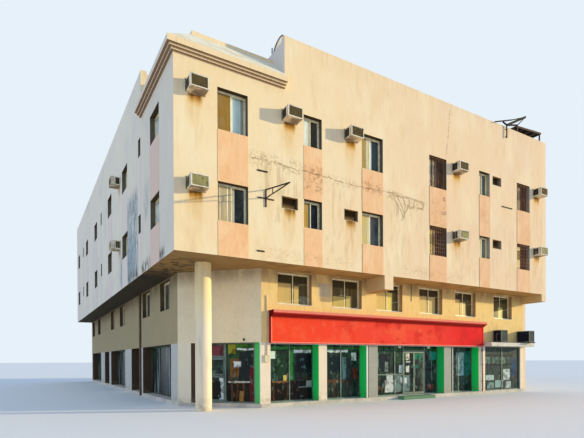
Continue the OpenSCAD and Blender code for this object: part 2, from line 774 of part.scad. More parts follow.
// A sheet on sloping rails, carried by two posts on the roof and two on the party wall
function canopy_under(x) = canopy_z + (x - canopy_x) * canopy_rise / canopy_w;
module sloping(x, w, y, d, up, h) translate([0, y + d, 0]) rotate([90, 0, 0]) linear_extrude(d)
    polygon([[x, canopy_under(x) + up], [x + w, canopy_under(x + w) + up],
        [x + w, canopy_under(x + w) + up + h], [x, canopy_under(x) + up + h]]);
module roof_canopy() color("#3B3F45") {
    for (post = [[canopy_x + post_w, roof_z], [front_len - (wall_t + post_w) / 2, parapet_z]])
        for (y = [wall_t, wall_t + canopy_d - post_w])
            block(post[0], y, post[1], post_w, post_w, canopy_under(post[0]) + post_lap - post[1]);
    for (y = [wall_t, wall_t + canopy_d - post_w]) sloping(canopy_x, canopy_w, y, post_w, 0, rail_h);
    for (i = [0:rails - 1])
        sloping(canopy_x + i * (canopy_w - rail_w) / (rails - 1), rail_w, wall_t, canopy_d, 0, rail_h);
    sloping(canopy_x, canopy_w, wall_t, canopy_d, rail_h - 1, sheet_t + 1);
}

// The bracket that stands out of the front wall: post, sloping arm, bottom chord, hanger and cross bar
module wall_bracket() color("#2B2623") {
    chord_z = bracket_z + bracket_h / 2;
    half = bracket_t / 2;
    tip = [bracket_x, -bracket_out, chord_z - half];
    foot = [bracket_x, -half, chord_z];
    head = [bracket_x, -half, bracket_z + bracket_h - half];
    block(bracket_x - half, -bracket_t, bracket_z, bracket_t, bracket_t, bracket_h);
    block(bracket_x - cross_len / 2, -cross_t, chord_z - cross_t, cross_len, cross_t, cross_t);
    strut(head, tip, arm_t);
    strut(foot, tip, chord_t);
    strut(foot + (tip - foot) * hanger_share, head + (tip - head) * hanger_share, hanger_t);
}

// The aerial mount: a post that two clamps hold off the parapet, and a wing of bars in a plane before the wall
function aerial_at(p) = [p[0], 0, parapet_z + p[1]];
module aerial_mount() color("#2A2E33") translate([front_len - aerial_back, -aerial_off - aerial_t / 2, 0]) {
    block(-aerial_t / 2, -aerial_t / 2, aerial_z, aerial_t, aerial_t, parapet_z + aerial_top - aerial_z);
    for (up = clamp_up) block(-clamp_t / 2, 0, aerial_z + up, clamp_t, aerial_off + aerial_t / 2, clamp_t);
    strut(aerial_at(aerial_left), aerial_at(aerial_bend), wing_t);
    strut(aerial_at(aerial_bend), aerial_at(aerial_tip), tail_t);
    strut(aerial_at(aerial_stub), aerial_at(aerial_hub), stub_t);
    strut(aerial_at(aerial_hub), aerial_at(aerial_tip), boom_t);
    strut(aerial_at(aerial_hub), aerial_at(aerial_elbow), brace_t);
    strut(aerial_at(aerial_elbow), aerial_at(aerial_tip), stay_t);
}

// The dish on its mast: one hollow shell, turned about its own axis
function dish_curve(r, from) = [for (i = [0:8]) [r * i / 8, dish_depth * pow(i / 8, 2) + from]];
module roof_dish() color("#5A5D60") translate([cornice_front + dish_in, dish_y, roof_z]) {
    cylinder(h = dish_up, r = mast_r);
    translate([0, 0, dish_up - mast_r]) rotate([0, dish_tilt, dish_turn]) {
        translate([0, 0, mast_r]) rotate_extrude() polygon(concat(dish_curve(dish_r, 0),
            [for (p = [8:-1:0]) dish_curve(dish_r, dish_t)[p]]));
        cylinder(h = mast_r + dish_t, r = mast_r);
        strut([dish_r * 0.95, 0, mast_r + dish_depth * 0.9], feed_foot, mast_r);
        strut(feed_top, feed_foot, feed_t);
    }
}

pipe_r = 55;
pipe_before = 70;
module downpipe() color("#6B4A38")
    at_side(setback) translate([side_flat - pipe_before, -pipe_r, 0]) cylinder(h = soffit_z, r = pipe_r);

on_site() ground_slab();
on_site() entrance_step();
on_site() corner_column();
on_site() front_piers();
on_site() corner_piers();
on_site() side_piers();
on_site() shop_lintels();
on_site() front_lower_wall();
on_site() corner_lower_wall();
on_site() side_lower_wall();
on_site() rear_walls();
on_site() party_wall();
on_site() mezzanine_slab();
on_site() floor_slab(first_z);  // first_floor_slab
on_site() floor_slab(second_z);  // second_floor_slab
on_site() floor_slab(roof_z);  // roof_slab
on_site() overhang_beams();
on_site() front_storey(0);  // front_wall_first
on_site() front_storey(1);  // front_wall_second
on_site() side_storey(0);  // side_wall_first
on_site() side_storey(1);  // side_wall_second
on_site() corner_roof();
on_site() front_parapet();
on_site() side_parapet();
on_site() rear_parapet();
on_site() corner_return_wall();
on_site() front_panels();
on_site() side_panels();
color("#B7BABA") on_site() upper_windows(false);  // upper_window_frames
color("#8A8468") on_site() upper_windows(true);  // upper_window_glass
color("#B7BABA") on_site() mezzanine_windows(false);  // mezzanine_window_frames
color("#8A8468") on_site() mezzanine_windows(true);  // mezzanine_window_glass
on_site() front_shop_frames();
on_site() front_shop_glass();
on_site() corner_shop_frame();
on_site() corner_shop_glass();
on_site() side_shop_frames();
on_site() side_shop_glass();
on_site() door_transoms();
on_site() door_left_leaf();
on_site() door_left_glass();
on_site() door_right_leaf();
on_site() door_right_glass();
on_site() corner_door_leaf();
on_site() corner_door_glass();
on_site() door_pivots();
on_site() sign_box();
on_site() sign_top();
on_site() condenser_ledge();
on_site() condensers();
on_site() front_air_conditioners();
on_site() side_air_conditioners();
on_site() roof_canopy();
on_site() downpipe();
on_site() roof_dish();
on_site() aerial_mount();
on_site() wall_bracket();
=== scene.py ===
"""The looks of the corner shop building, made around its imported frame.

Every place in this script is in metres from the street corner of the upper storeys, with the ground
at 0: x runs along the front, y runs along the side and z goes up. SITE moves that corner to the frame's.
"""

import math

import bmesh
import bpy
from mathutils import Matrix, Vector


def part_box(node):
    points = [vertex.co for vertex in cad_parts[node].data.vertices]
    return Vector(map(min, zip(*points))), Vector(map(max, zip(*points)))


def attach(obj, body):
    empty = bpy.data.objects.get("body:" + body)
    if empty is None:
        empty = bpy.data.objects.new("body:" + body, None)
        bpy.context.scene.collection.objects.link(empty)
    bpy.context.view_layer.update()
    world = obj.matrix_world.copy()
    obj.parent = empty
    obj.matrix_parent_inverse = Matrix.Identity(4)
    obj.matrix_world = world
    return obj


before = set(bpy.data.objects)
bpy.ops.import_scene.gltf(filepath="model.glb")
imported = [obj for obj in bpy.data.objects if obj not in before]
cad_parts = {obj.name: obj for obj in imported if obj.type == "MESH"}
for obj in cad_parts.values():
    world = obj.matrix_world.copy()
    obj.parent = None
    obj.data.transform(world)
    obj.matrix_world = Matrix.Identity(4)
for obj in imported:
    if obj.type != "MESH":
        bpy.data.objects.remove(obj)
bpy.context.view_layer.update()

UP = Vector((0, 0, 1))
corner_low, corner_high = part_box("front_wall_first")
SITE = Vector((corner_low.x, corner_low.y, 0))

# Levels and depths read from the frame
WALL_T = corner_high.y - corner_low.y
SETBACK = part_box("front_lower_wall")[0].y - SITE.y
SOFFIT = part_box("first_floor_slab")[0].z
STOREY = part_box("second_floor_slab")[0].z - SOFFIT
WALL_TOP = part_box("front_parapet")[1].z
SHOP_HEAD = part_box("front_lower_wall")[0].z
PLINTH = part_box("ground_slab")[1].z
SIGN_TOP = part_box("sign_top")[1].z


def rgb(red, green, blue):
    """A colour written in 0 to 255, as the shaders' linear values."""
    def linear(c):
        c /= 255
        return c / 12.92 if c < 0.04045 else ((c + 0.055) / 1.055) ** 2.4
    return linear(red), linear(green), linear(blue), 1.0


def solids(node):
    """The lowest and highest corner of each separate solid of a CAD node, from the street corner."""
    mesh = bmesh.new()
    mesh.from_mesh(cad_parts[node].data)
    bmesh.ops.remove_doubles(mesh, verts=mesh.verts, dist=1e-4)
    seen = set()
    boxes = []
    for start in mesh.verts:
        if start in seen:
            continue
        seen.add(start)
        island = [start]
        for vert in island:
            for edge in vert.link_edges:
                other = edge.other_vert(vert)
                if other not in seen:
                    seen.add(other)
                    island.append(other)
        spots = [v.co - SITE for v in island]
        boxes.append((Vector(map(min, *spots)), Vector(map(max, *spots))))
    mesh.free()
    return boxes


def between(low, high, count):
    """The places that divide a span into equal parts."""
    return [low + (high - low) * i / count for i in range(1, count)]


# Wall faces


class Face:
    """A wall face: u runs along it, w stands out of it and z goes up."""

    def __init__(self, origin, along, out):
        self.origin = Vector(origin)
        self.along = Vector(along).normalized()
        self.out = Vector(out).normalized()

    def at(self, u, w, z):
        return SITE + self.origin + self.along * u + self.out * w + UP * z


FRONT = Face((0, 0, 0), (1, 0, 0), (0, -1, 0))
SIDE = Face((0, 0, 0), (0, 1, 0), (-1, 0, 0))
SHOPS = Face((0, SETBACK, 0), (1, 0, 0), (0, -1, 0))
SIDE_SHOPS = Face((SETBACK, 0, 0), (0, 1, 0), (-1, 0, 0))
# The cut corner of the set-back storeys, whose leg is read from the ground slab
CUT_LEG = min(v.co.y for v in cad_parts["ground_slab"].data.vertices
              if v.co.x - SITE.x < SETBACK + 0.01) - SITE.y - SETBACK
CUT = Face((SETBACK, SETBACK + CUT_LEG, 0), (1, -1, 0), (-1, -1, 0))


# Meshes


class Build:
    """A piece under way, made of boxes, rods and plates set on wall faces."""

    def __init__(self, name):
        self.name = name
        self.mesh = bmesh.new()

    def box(self, face, u, w, z, bevel=0.0):
        """A block between two places along u, w and z."""
        size = Vector((u[1] - u[0], w[1] - w[0], z[1] - z[0]))
        middle = face.at((u[0] + u[1]) / 2, (w[0] + w[1]) / 2, (z[0] + z[1]) / 2)
        axes = Matrix((face.along * size.x, face.out * size.y, UP * size.z)).transposed()
        place = Matrix.Translation(middle) @ axes.to_4x4()
        made = bmesh.ops.create_cube(self.mesh, size=1, matrix=place)
        if bevel:
            edges = {e for v in made["verts"] for e in v.link_edges}
            bmesh.ops.bevel(self.mesh, geom=list(edges), offset=bevel, segments=1, affect="EDGES")

    def rod(self, points, radius, sides):
        """A round rod along points, which are world places, with mitred bends and closed ends."""
        points = [Vector(p) for p in points]
        turns = [2 * math.pi * k / sides for k in range(sides)]
        rings = []
        for i, point in enumerate(points):
            before = (point - points[i - 1]).normalized() if i else None
            after = (points[i + 1] - point).normalized() if i + 1 < len(points) else None
            ahead = ((before or after) + (after or before)).normalized()
            helper = UP if abs(ahead.z) < 0.9 else Vector((0, 1, 0))
            across = ahead.cross(helper).normalized()
            over = across.cross(ahead)
            ring = [point + radius * (math.cos(a) * across + math.sin(a) * over) for a in turns]
            rings.append([self.mesh.verts.new(spot) for spot in ring])
        for low, high in zip(rings, rings[1:]):
            for k in range(sides):
                following = (k + 1) % sides
                self.mesh.faces.new((low[k], low[following], high[following], high[k]))
        self.mesh.faces.new(rings[0][::-1])
        self.mesh.faces.new(rings[-1])

    def frame(self, face, u, w, z, bar):
        """A flat frame of four bars."""
        self.box(face, u, w, (z[0], z[0] + bar))
        self.box(face, u, w, (z[1] - bar, z[1]))
        self.box(face, (u[0], u[0] + bar), w, (z[0] + bar, z[1] - bar))
        self.box(face, (u[1] - bar, u[1]), w, (z[0] + bar, z[1] - bar))

    def done(self, material, smooth=False):
        bmesh.ops.recalc_face_normals(self.mesh, faces=self.mesh.faces)
        data = bpy.data.meshes.new(self.name)
        self.mesh.to_mesh(data)
        self.mesh.free()
        data.materials.append(material)
        for polygon in data.polygons:
            polygon.use_smooth = smooth
        piece = bpy.data.objects.new(self.name, data)
        bpy.context.scene.collection.objects.link(piece)
        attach(piece, "building")


# Fields, which the materials are written in


class Field:
    """A number, colour or place that varies over a surface. A material that uses it makes its node once."""

    def __init__(self, kind, inputs=(), output=0, **settings):
        self.kind = kind
        self.inputs = inputs
        self.output = output
        self.settings = settings

    def socket(self, tree, made):
        if self not in made:
            # Inputs are made first, as the renderer then holds fewer values at a time
            for _, value in self.inputs:
                if isinstance(value, Field):
                    value.socket(tree, made)
            node = tree.nodes.new(self.kind)
            for key, value in self.settings.items():
                setattr(node, key, value)
            for key, value in self.inputs:
                feed(node.inputs[key], value, tree, made)
            made[self] = node.outputs[self.output]
        return made[self]

    def __add__(self, other):
        return calculate("ADD", self, other)

    def __sub__(self, other):
        return calculate("SUBTRACT", self, other)

    def __mul__(self, other):
        return calculate("MULTIPLY", self, other)

    def __abs__(self):
        return calculate("ABSOLUTE", self)

    def step(self, low, high):
        """A smooth step from 0 at low to 1 at high. Low may be the larger one."""
        ends = (0, 1) if low < high else (1, 0)
        values = (self, min(low, high), max(low, high), *ends)
        return Field("ShaderNodeMapRange", tuple(enumerate(values)), interpolation_type="SMOOTHSTEP")

    def band(self, low, high, soft):
        """1 between two values, fading at both."""
        return self.step(low - soft, low + soft) * self.step(high + soft, high - soft)


def feed(socket, value, tree, made):
    """Gives a socket a field, a number, a vector, or a tone of three numbers from 0 to 255."""
    if isinstance(value, Field):
        tree.links.new(value.socket(tree, made), socket)
    elif socket.type == "RGBA" and len(value) == 3:
        socket.default_value = rgb(*value)
    else:
        socket.default_value = value


def calculate(operation, *values, clamp=False):
    return Field("ShaderNodeMath", tuple(enumerate(values)), operation=operation, use_clamp=clamp)


def vector(operation, *values, output="Vector"):
    keys = (0, "Scale") if operation == "SCALE" else range(len(values))
    return Field("ShaderNodeVectorMath", tuple(zip(keys, values)), output, operation=operation)


def most(*values):
    top = values[0]
    for value in values[1:]:
        top = calculate("MAXIMUM", top, value)
    return top


def repeat(value, length):
    """Where parts of one length follow each other, how far from its part's middle a place is, as a share."""
    return abs(calculate("FRACT", value * (1 / length)) - 0.5)


# Places are taken from the street corner
PLACE = vector("SUBTRACT", Field("ShaderNodeTexCoord", output="Object"), tuple(SITE))
X, Y, Z = (Field("ShaderNodeSeparateXYZ", ((0, PLACE),), axis) for axis in range(3))
NORMAL = Field("ShaderNodeNewGeometry", output="Normal")
NORMAL_X, NORMAL_Y, NORMAL_Z = (Field("ShaderNodeSeparateXYZ", ((0, NORMAL),), axis) for axis in range(3))
ISLAND = Field("ShaderNodeNewGeometry", output="Random Per Island")
CUT_U = (X - Y + CUT_LEG) * math.sqrt(0.5)


def noise(scale, upright=1, detail=5, roughness=0.55, shift=0, output="Fac"):
    """A noise whose grains stand upright where upright is below 1. Each shift gives it another pattern."""
    spot = vector("MULTIPLY_ADD", PLACE, (1, 1, upright), (shift, shift * 1.7, shift * 0.6))
    inputs = (("Vector", spot), ("Scale", scale), ("Detail", detail), ("Roughness", roughness))
    return Field("ShaderNodeTexNoise", inputs, output)


def mix(share, low, high):
    return Field("ShaderNodeMix", ((6, low), (0, share), (7, high)), 2, data_type="RGBA")


def mottled(high, low, scale, upright=1, detail=5, shift=0, edge=None):
    """Two tones mixed by a noise, more sharply if edge gives its lowest and highest values."""
    share = noise(scale, upright, detail, shift=shift)
    return mix(share.step(*edge) if edge else share, high, low)


def over(colour, *layers):
    """A colour with layers over it, each given as its share and its tone."""
    for share, tone in layers:
        colour = mix(share, colour, tone)
    return colour


def stain_and_painted_light(tone, share, scale, upright=1, detail=5, roughness=0.55, shift=0, edge=(0.46, 0.7), mask=1):
    """A layer that shows where a noise is high: mostly stains, and in a few places painted shade and
    reflections.
    """
    return noise(scale, upright, detail, roughness, shift).step(*edge) * share * mask, tone


def patch(across, u, z, soft):
    """1 inside a rectangle of a wall, fading at its edges."""
    return across.band(*u, soft) * Z.band(*z, soft)


def near(runs, wander):
    """The distance in the front's plane to the closest of some lines, each given by its points in x and z."""
    flat = vector("MULTIPLY", vector("ADD", PLACE, wander), (1, 0, 1))
    closest = 9.0
    for run in runs:
        for start, end in zip(run, run[1:]):
            along = Vector((end[0] - start[0], 0, end[1] - start[1]))
            offset = vector("SUBTRACT", flat, (start[0], 0, start[1]))
            share = vector("DOT_PRODUCT", offset, tuple(along / along.length_squared), output="Value")
            foot = vector("SCALE", tuple(along), calculate("ADD", share, 0.0, clamp=True))
            closest = calculate("MINIMUM", closest, vector("DISTANCE", offset, foot, output="Value"))
    return closest


def coat(name, colour, roughness, specular=0.2, metallic=0.0, bump=None):
    """A material of one colour field. Its bump is given as a height field, a depth and a strength."""
    material = bpy.data.materials.new(name)
    material.use_nodes = True
    tree = material.node_tree
    tree.nodes.clear()
    shader = tree.nodes.new("ShaderNodeBsdfPrincipled")
    tree.links.new(shader.outputs[0], tree.nodes.new("ShaderNodeOutputMaterial").inputs[0])
    values = {"Base Color": colour, "Roughness": roughness, "Specular IOR Level": specular,
              "Metallic": metallic}
    if bump:
        values["Normal"] = Field("ShaderNodeBump", tuple(zip(("Height", "Distance", "Strength"), bump)))
    made = {}
    for key, value in values.items():
        feed(shader.inputs[key], value, tree, made)
    return material


# Painted plaster of the upper storeys

WINDOW_UNITS = solids("front_air_conditioners")
SIDE_UNITS = solids("side_air_conditioners")
UNIT_X = tuple(sorted({round((low.x + high.x) / 2, 2) for low, high in WINDOW_UNITS}))
# The undersides of the two storeys, and how far wall sleeves and window heads are over them
STOREY_Z = (SOFFIT, SOFFIT + STOREY)
SLEEVE_IN = 2.04
HEAD_IN = 2.53
SLEEVE_Z = [z + SLEEVE_IN for z in STOREY_Z]
HEAD_Z = [z + HEAD_IN for z in STOREY_Z]
SLEEVE_HALF = 0.34
SLEEVE_H = 0.43
SLEEVE_X = (0.74, 4.355, 7.22, 13.54, 16.55, 19.98)
# The front's windows: where each starts, its width and its height on the two storeys
WINDOWS = ((1.51, 1.14, (1.34, 1.43)), (4.97, 0.83, (1.08, 1.17)), (7.78, 1.14, (1.34, 1.43)),
           (11.69, 1.14, (1.34, 1.43)), (15.16, 0.83, (1.08, 1.17)), (18.21, 1.14, (1.34, 1.43)))
BARRED = (3, 5)


def rust_under(across, places):
    """Yellow-brown runs under the wall sleeves: how wet the wall is, and how brown right under a unit."""
    feet = [z - 0.02 for z in SLEEVE_Z]
    narrow = most(*[across.band(u - 0.24, u + 0.22, 0.07) for u in places])
    wide = most(*[across.band(u - 0.3, u + 0.16, 0.12) for u in places])
    short, long, close = (most(*[Z.step(z - far, z - full) * Z.step(z + 0.02, z) for z in feet])
                          for far, full in ((0.56, 0.08), (1.6, 0.2), (0.3, 0)))
    grain = noise(6, 0.12).step(0.3, 0.62)
    wet = most(narrow * short * (grain * 0.4 + 0.7), wide * long * grain * 0.42)
    return wet, narrow * close * (grain * 0.5 + 0.5)


CRACKS = (
    ((2.71, 9.04), (3.3, 9.08), (4.02, 9.04), (4.8, 8.99), (5.4, 9.03), (6.18, 9.0), (6.9, 8.93),
     (7.78, 8.95), (8.9, 8.97), (9.6, 9.04), (10.4, 9.0), (11.4, 8.92)),
    ((13.08, 13.6), (12.98, 12.8), (12.9, 12.12), (12.8, 11.26)),
)
WEB = (
    ((9.3, 9.0), (9.9, 8.93), (10.5, 8.97), (11.3, 8.84), (11.25, 8.6), (10.9, 8.62)),
    ((9.42, 8.96), (9.6, 8.7), (9.9, 8.4), (10.05, 8.05), (9.98, 7.9)),
    ((9.7, 8.95), (9.95, 8.62), (10.12, 8.18)), ((10.05, 8.96), (10.2, 8.6), (10.12, 8.18)),
    ((10.4, 8.96), (10.45, 8.7), (10.3, 8.45), (10.05, 8.05)), ((10.8, 8.9), (10.7, 8.62), (10.45, 8.52)),
)
RINGS = ((12.64, 9.31, 0.06), (12.55, 8.64, 0.07), (12.72, 8.67, 0.06))


def cracks():
    """Thin cracks along the second floor's slab and up the parapet, and a web of lines near the middle."""
    turns = noise(3.4, detail=6, roughness=0.7, shift=2, output="Color")
    wander = vector("SCALE", vector("SUBTRACT", turns, (0.5, 0.5, 0.5)), 0.3)
    broken = noise(2.6, roughness=0.6, shift=12).step(0.34, 0.56)
    rings = [abs(near([((x, z), (x + 0.01, z))], wander) - size).step(0.035, 0.012) for x, z, size in RINGS]
    return most(near(CRACKS, wander).step(0.03, 0.008) * broken * 0.8,
                near(WEB, wander).step(0.05, 0.01) * 0.7, most(*rings) * 0.8)


# Damp and dirty places of the front: span along it, span in height, how soft, and how dark
SPECKLED = (
    ((2.7, 4.9), (8.8, 9.3), 0.14, 0.8), ((4.98, 5.85), (8.3, 9.3), 0.1, 1.0),
    ((7.8, 8.85), (8.8, 9.2), 0.1, 1.0), ((5.9, 7.6), (8.75, 9.1), 0.14, 0.6),
    ((9.2, 9.8), (8.7, 9.1), 0.1, 0.9), ((9.9, 11.3), (8.5, 8.9), 0.12, 0.8),
    ((10.0, 11.4), (5.6, 6.0), 0.16, 0.5), ((11.0, 14.0), (5.55, 5.9), 0.14, 0.4),
    ((3.4, 7.4), (5.55, 5.95), 0.14, 0.35), ((11.8, 12.85), (8.0, 9.2), 0.12, 0.3),
    ((15.2, 15.9), (8.6, 9.3), 0.1, 0.4),
)
DRIPPED = (
    ((2.75, 4.9), (7.9, 8.95), 0.2, 0.5), ((3.9, 4.75), (8.5, 9.0), 0.1, 0.7),
    ((9.5, 10.6), (8.0, 8.95), 0.16, 0.6), ((5.85, 7.7), (6.0, 8.6), 0.3, 0.3),
    ((3.5, 4.4), (6.9, 7.5), 0.14, 0.5), ((9.0, 11.6), (5.6, 8.4), 0.4, 0.25),
    ((13.0, 15.1), (5.6, 8.2), 0.3, 0.2), ((16.0, 18.1), (5.6, 8.6), 0.3, 0.2),
    ((19.3, 20.85), (5.6, 9.6), 0.25, 0.2),
)


def grime():
    """Speckled damp and short dark drips, by place on the front."""
    damp, runs = (most(*[patch(X, u, z, soft) * share for u, z, soft, share in places])
                  for places in (SPECKLED, DRIPPED))
    speckle = noise(9, detail=7, roughness=0.8, shift=2).step(0.47, 0.6)
    drips = noise(7, 0.16, shift=4).step(0.46, 0.66)
    return most(damp * speckle, runs * drips)


def front_plaster():
    """Sunny cream that turns pinker to the right, with soft runs, rust under the units, damp and cracks."""
    wet, brown = rust_under(X, SLEEVE_X[:1] + UNIT_X)
    return over(
        mix(X.step(1.0, 16.0), (255, 229, 178), (245, 213, 174)),
        stain_and_painted_light((250, 217, 168), 0.5, 0.5, shift=3, edge=(0.4, 0.66)),
        stain_and_painted_light((255, 238, 196), 0.5, 0.8, 0.5, shift=8),
        stain_and_painted_light((236, 203, 150), 0.5, 2.4, 0.3, shift=5, edge=(0.5, 0.76)),
        stain_and_painted_light((228, 196, 148), 0.3, 11, 0.12, edge=(0.5, 0.76)),
        stain_and_painted_light((255, 242, 204), 0.3, 9, 0.2, shift=14, edge=(0.52, 0.74)),
        stain_and_painted_light((224, 188, 138), 0.25, 30, shift=7),
        stain_and_painted_light((216, 182, 130), 0.35, 12, 0.07, mask=Z.step(WALL_TOP - 0.9, WALL_TOP)),
        (wet * 0.9, (222, 164, 56)), (brown * 0.95, (116, 70, 16)),
        (grime() * 0.7, (158, 126, 84)), (cracks() * 0.75, (130, 102, 70)))


def side_plaster():
    """The shaded side: a cool grey coat with heavy runs and damp round the second and third windows."""
    worst = most(patch(Y, (5.3, 8.0), (5.5, 9.2), 0.5), patch(Y, (6.8, 9.4), (5.5, 6.9), 0.5),
                 patch(Y, (3.4, 4.3), (7.4, 8.9), 0.4) * 0.5)
    return over(
        mix(Y.step(1.0, 10.0), (240, 226, 200), (255, 238, 208)),
        stain_and_painted_light((228, 218, 198), 0.5, 0.6, shift=6),
        (patch(Y, (6.4, 9.4), (5.5, 6.9), 0.7) * 0.7, (150, 160, 160)),
        stain_and_painted_light((158, 178, 178), 0.75, 5, 0.1, roughness=0.65, shift=1, edge=(0.36, 0.6),
              mask=most(0.12, worst)),
        stain_and_painted_light((112, 134, 140), 0.85, 8, 0.12, 7, 0.75, shift=5, edge=(0.5, 0.58), mask=worst),
        stain_and_painted_light((62, 74, 80), 0.85, 7, 0.34, 8, 0.8, shift=15, edge=(0.54, 0.6), mask=worst),
        stain_and_painted_light((64, 66, 62), 0.85, 7, 0.3, shift=9, edge=(0.4, 0.56),
              mask=patch(Y, (1.2, 9.0), (SOFFIT, SOFFIT + 0.4), 0.2)),
        (rust_under(Y, (9.74,))[0] * 0.6, (190, 158, 110)))


def soffit_plaster():
    """The brown underside of the overhang, nearly black along the side and flaked near the corner."""
    return over(
        mix(X.step(2.0, 7.0), (164, 128, 78), (190, 148, 88)),
        stain_and_painted_light((122, 92, 52), 0.5, 1.3),
        (X.step(3.4, 0.8) * Y.step(2.0, 5.5) * 0.9, (58, 56, 44)),
        stain_and_painted_light((62, 54, 42), 0.85, 3.4, detail=6, roughness=0.65, shift=3, edge=(0.5, 0.58),
              mask=Y.band(1.2, 6.5, 0.8) * X.step(2.2, 0.8)))


def rear_plaster():
    return over(mottled((228, 214, 184), (214, 200, 172), 0.6, detail=4, shift=2, edge=(0.4, 0.7)),
                stain_and_painted_light((206, 190, 158), 0.4, 2.4, 0.3, shift=4),
                stain_and_painted_light((186, 172, 146), 0.35, 11, 0.1, shift=9))


def roof_top():
    return over(mottled((202, 192, 170), (184, 174, 154), 0.9, detail=6, edge=(0.4, 0.65)),
                stain_and_painted_light((136, 128, 112), 0.3, 3, detail=8, roughness=0.75, shift=3))


def reveal_plaster():
    """The sides of the holes in the outer walls: painted shade, dark beside windows and black to brown inside
    the sleeves.
    """
    sleeve = most(*[Z.band(z - 0.01, z + SLEEVE_H + 0.01, 0.01) for z in SLEEVE_Z])
    beside = most(*[X.band(x - SLEEVE_HALF, x + SLEEVE_HALF, 0.015) for x in SLEEVE_X])
    # Paler to the right from 13.5 m; heads painted darker as shade and sills paler as light; in the sleeves,
    # brown painted black deeper in as shade
    return over(mottled((118, 112, 96), (90, 84, 70), 3, detail=4), (X.step(13.5, 15.0), (176, 168, 146)),
                (NORMAL_Z.step(-0.5, -0.8), (78, 62, 38)), (NORMAL_Z.step(0.5, 0.8), (190, 176, 140)),
                (sleeve * beside, mix(Y.step(0.04, 0.2), (176, 128, 70), (56, 40, 22))))


def facade():
    """One coat over walls, slabs and parapets: which side a face looks to decides its paint."""
    faces_front = NORMAL_Y.step(-0.4, -0.6)
    faces_side = NORMAL_X.step(-0.4, -0.6)
    storeys = Z.step(12.0, 11.9) * Z.step(5.7, 5.75)
    in_side, in_front = (axis.step(0.004, 0.012) * axis.step(WALL_T + 0.01, WALL_T - 0.01) for axis in (X, Y))
    holes = most(in_front * X.step(0.02, 0.1) * X.step(20.55, 20.5), in_side * Y.step(0.3, 0.4))
    return_wall = mottled((232, 220, 204), (216, 206, 192), 1.2, 0.4)
    colour = over(
        rear_plaster(), (faces_side, side_plaster()), (faces_front, front_plaster()),
        (storeys * holes, reveal_plaster()),
        (faces_side * X.step(1.0, 1.5) * Z.step(12.0, 12.1), return_wall),
        (faces_side * X.step(0.5, 1.0) * Z.step(5.62, 5.6), (222, 190, 134)),
        (NORMAL_Z.step(0.5, 0.8), roof_top()),
        (NORMAL_Z.step(-0.5, -0.8) * Z.step(SOFFIT + 0.2, SOFFIT + 0.05), soffit_plaster()))
    trowel = noise(2.2, shift=1) + noise(40, detail=3) * 0.16
    return coat("facade_plaster", colour, 0.9, 0.12, bump=(trowel, 0.012, 0.5))


def cornice_plaster():
    """The moulding and the sloping roof behind it: cream on its faces, a little browner underneath as painted
    shade.
    """
    slope = over(mottled((250, 238, 206), (236, 220, 182), 2.0, edge=(0.4, 0.64)),
                 stain_and_painted_light((190, 172, 136), 0.5, 9, detail=6, roughness=0.7, shift=3, edge=(0.56, 0.68)))
    colour = over(mottled((255, 230, 184), (246, 214, 160), 1.4, 0.5),
                  stain_and_painted_light((210, 172, 112), 0.4, 12, 0.2, edge=(0.5, 0.72)),
                  (NORMAL_X.step(-0.4, -0.6), mottled((244, 228, 204), (226, 210, 184), 2.0, 0.3)),
                  # Downward faces are browner, as painted shade
                  (NORMAL_Z.step(0.35, 0.6), slope), (NORMAL_Z.step(-0.2, -0.6), (150, 118, 86)))
    return coat("cornice_plaster", colour, 0.88, 0.12, bump=(noise(9, roughness=0.6), 0.008, 0.5))


def panel_paint():
    """Salmon paint over and under the windows, paler to the right and damp in places."""
    # Thin dark lines at the left edges of the last four windows' panels are painted shadow
    painted_edge_shadows = most(*[X.band(window[0] - 0.02, window[0] + 0.015, 0.012) for window in WINDOWS[2:]])
    colour = over(
        mix(X.step(1.5, 16.0), (255, 203, 147), (242, 194, 148)),
        stain_and_painted_light((242, 180, 122), 0.5, 1.6, 0.6, shift=4), stain_and_painted_light((255, 222, 172), 0.4, 2.6, 0.4, shift=9),
        stain_and_painted_light((226, 166, 112), 0.3, 14, 0.2),
        (grime() * 0.7, (158, 114, 78)), (painted_edge_shadows * 0.6, (120, 84, 60)),
        (X.step(0.8, 0.4), mix(Y.step(4.0, 5.0), (240, 208, 184), (246, 228, 206))),
        (cracks() * 0.8, (122, 88, 62)))
    return coat("salmon_paint", colour, 0.88, 0.12, bump=(noise(12), 0.006, 0.5))


def shop_wall(name, lit, shaded, cut):
    """Wall of the set-back storeys, by which street it faces: front, side or the cut corner."""
    faces_cut = NORMAL_X.step(-0.5, -0.65) * NORMAL_X.step(-0.92, -0.8)
    # A paler repair between the first two windows, and painted shade on the sides of the side street's window
    # holes
    repair = patch(X, (6.4, 7.06), (4.52, 5.08), 0.015)
    holes = X.step(SETBACK + 0.3, SETBACK + 0.25) * Y.step(4.4, 4.6)
    colour = over(
        # Faces looking along -x, toward the side street, take the shaded tone, a darker copy of the wall's
        # colour as painted shade
        lit, (repair * 0.8, (212, 196, 160)), (holes, (84, 76, 56)), (NORMAL_X.step(-0.85, -0.95), shaded),
        stain_and_painted_light((206, 176, 126), 0.16, 0.9, shift=2), stain_and_painted_light((168, 140, 98), 0.16, 5, 0.25, shift=6),
        (faces_cut, over(cut, stain_and_painted_light((244, 222, 178), 0.4, 0.8, shift=5))),
        stain_and_painted_light((150, 124, 88), 0.1, 12, 0.5),
        # Darker towards the top under the overhang: painted shade
        stain_and_painted_light((120, 92, 58), 0.6, 2, 0.4, shift=3, edge=(0.2, 0.6), mask=Z.step(4.7, 5.4)))
    return coat(name, colour, 0.88, 0.12, bump=(noise(10), 0.008, 0.5))


GREY_PIERS = ((9.0, 9.72), (13.9, 14.62))
PIER_TILE = 0.3


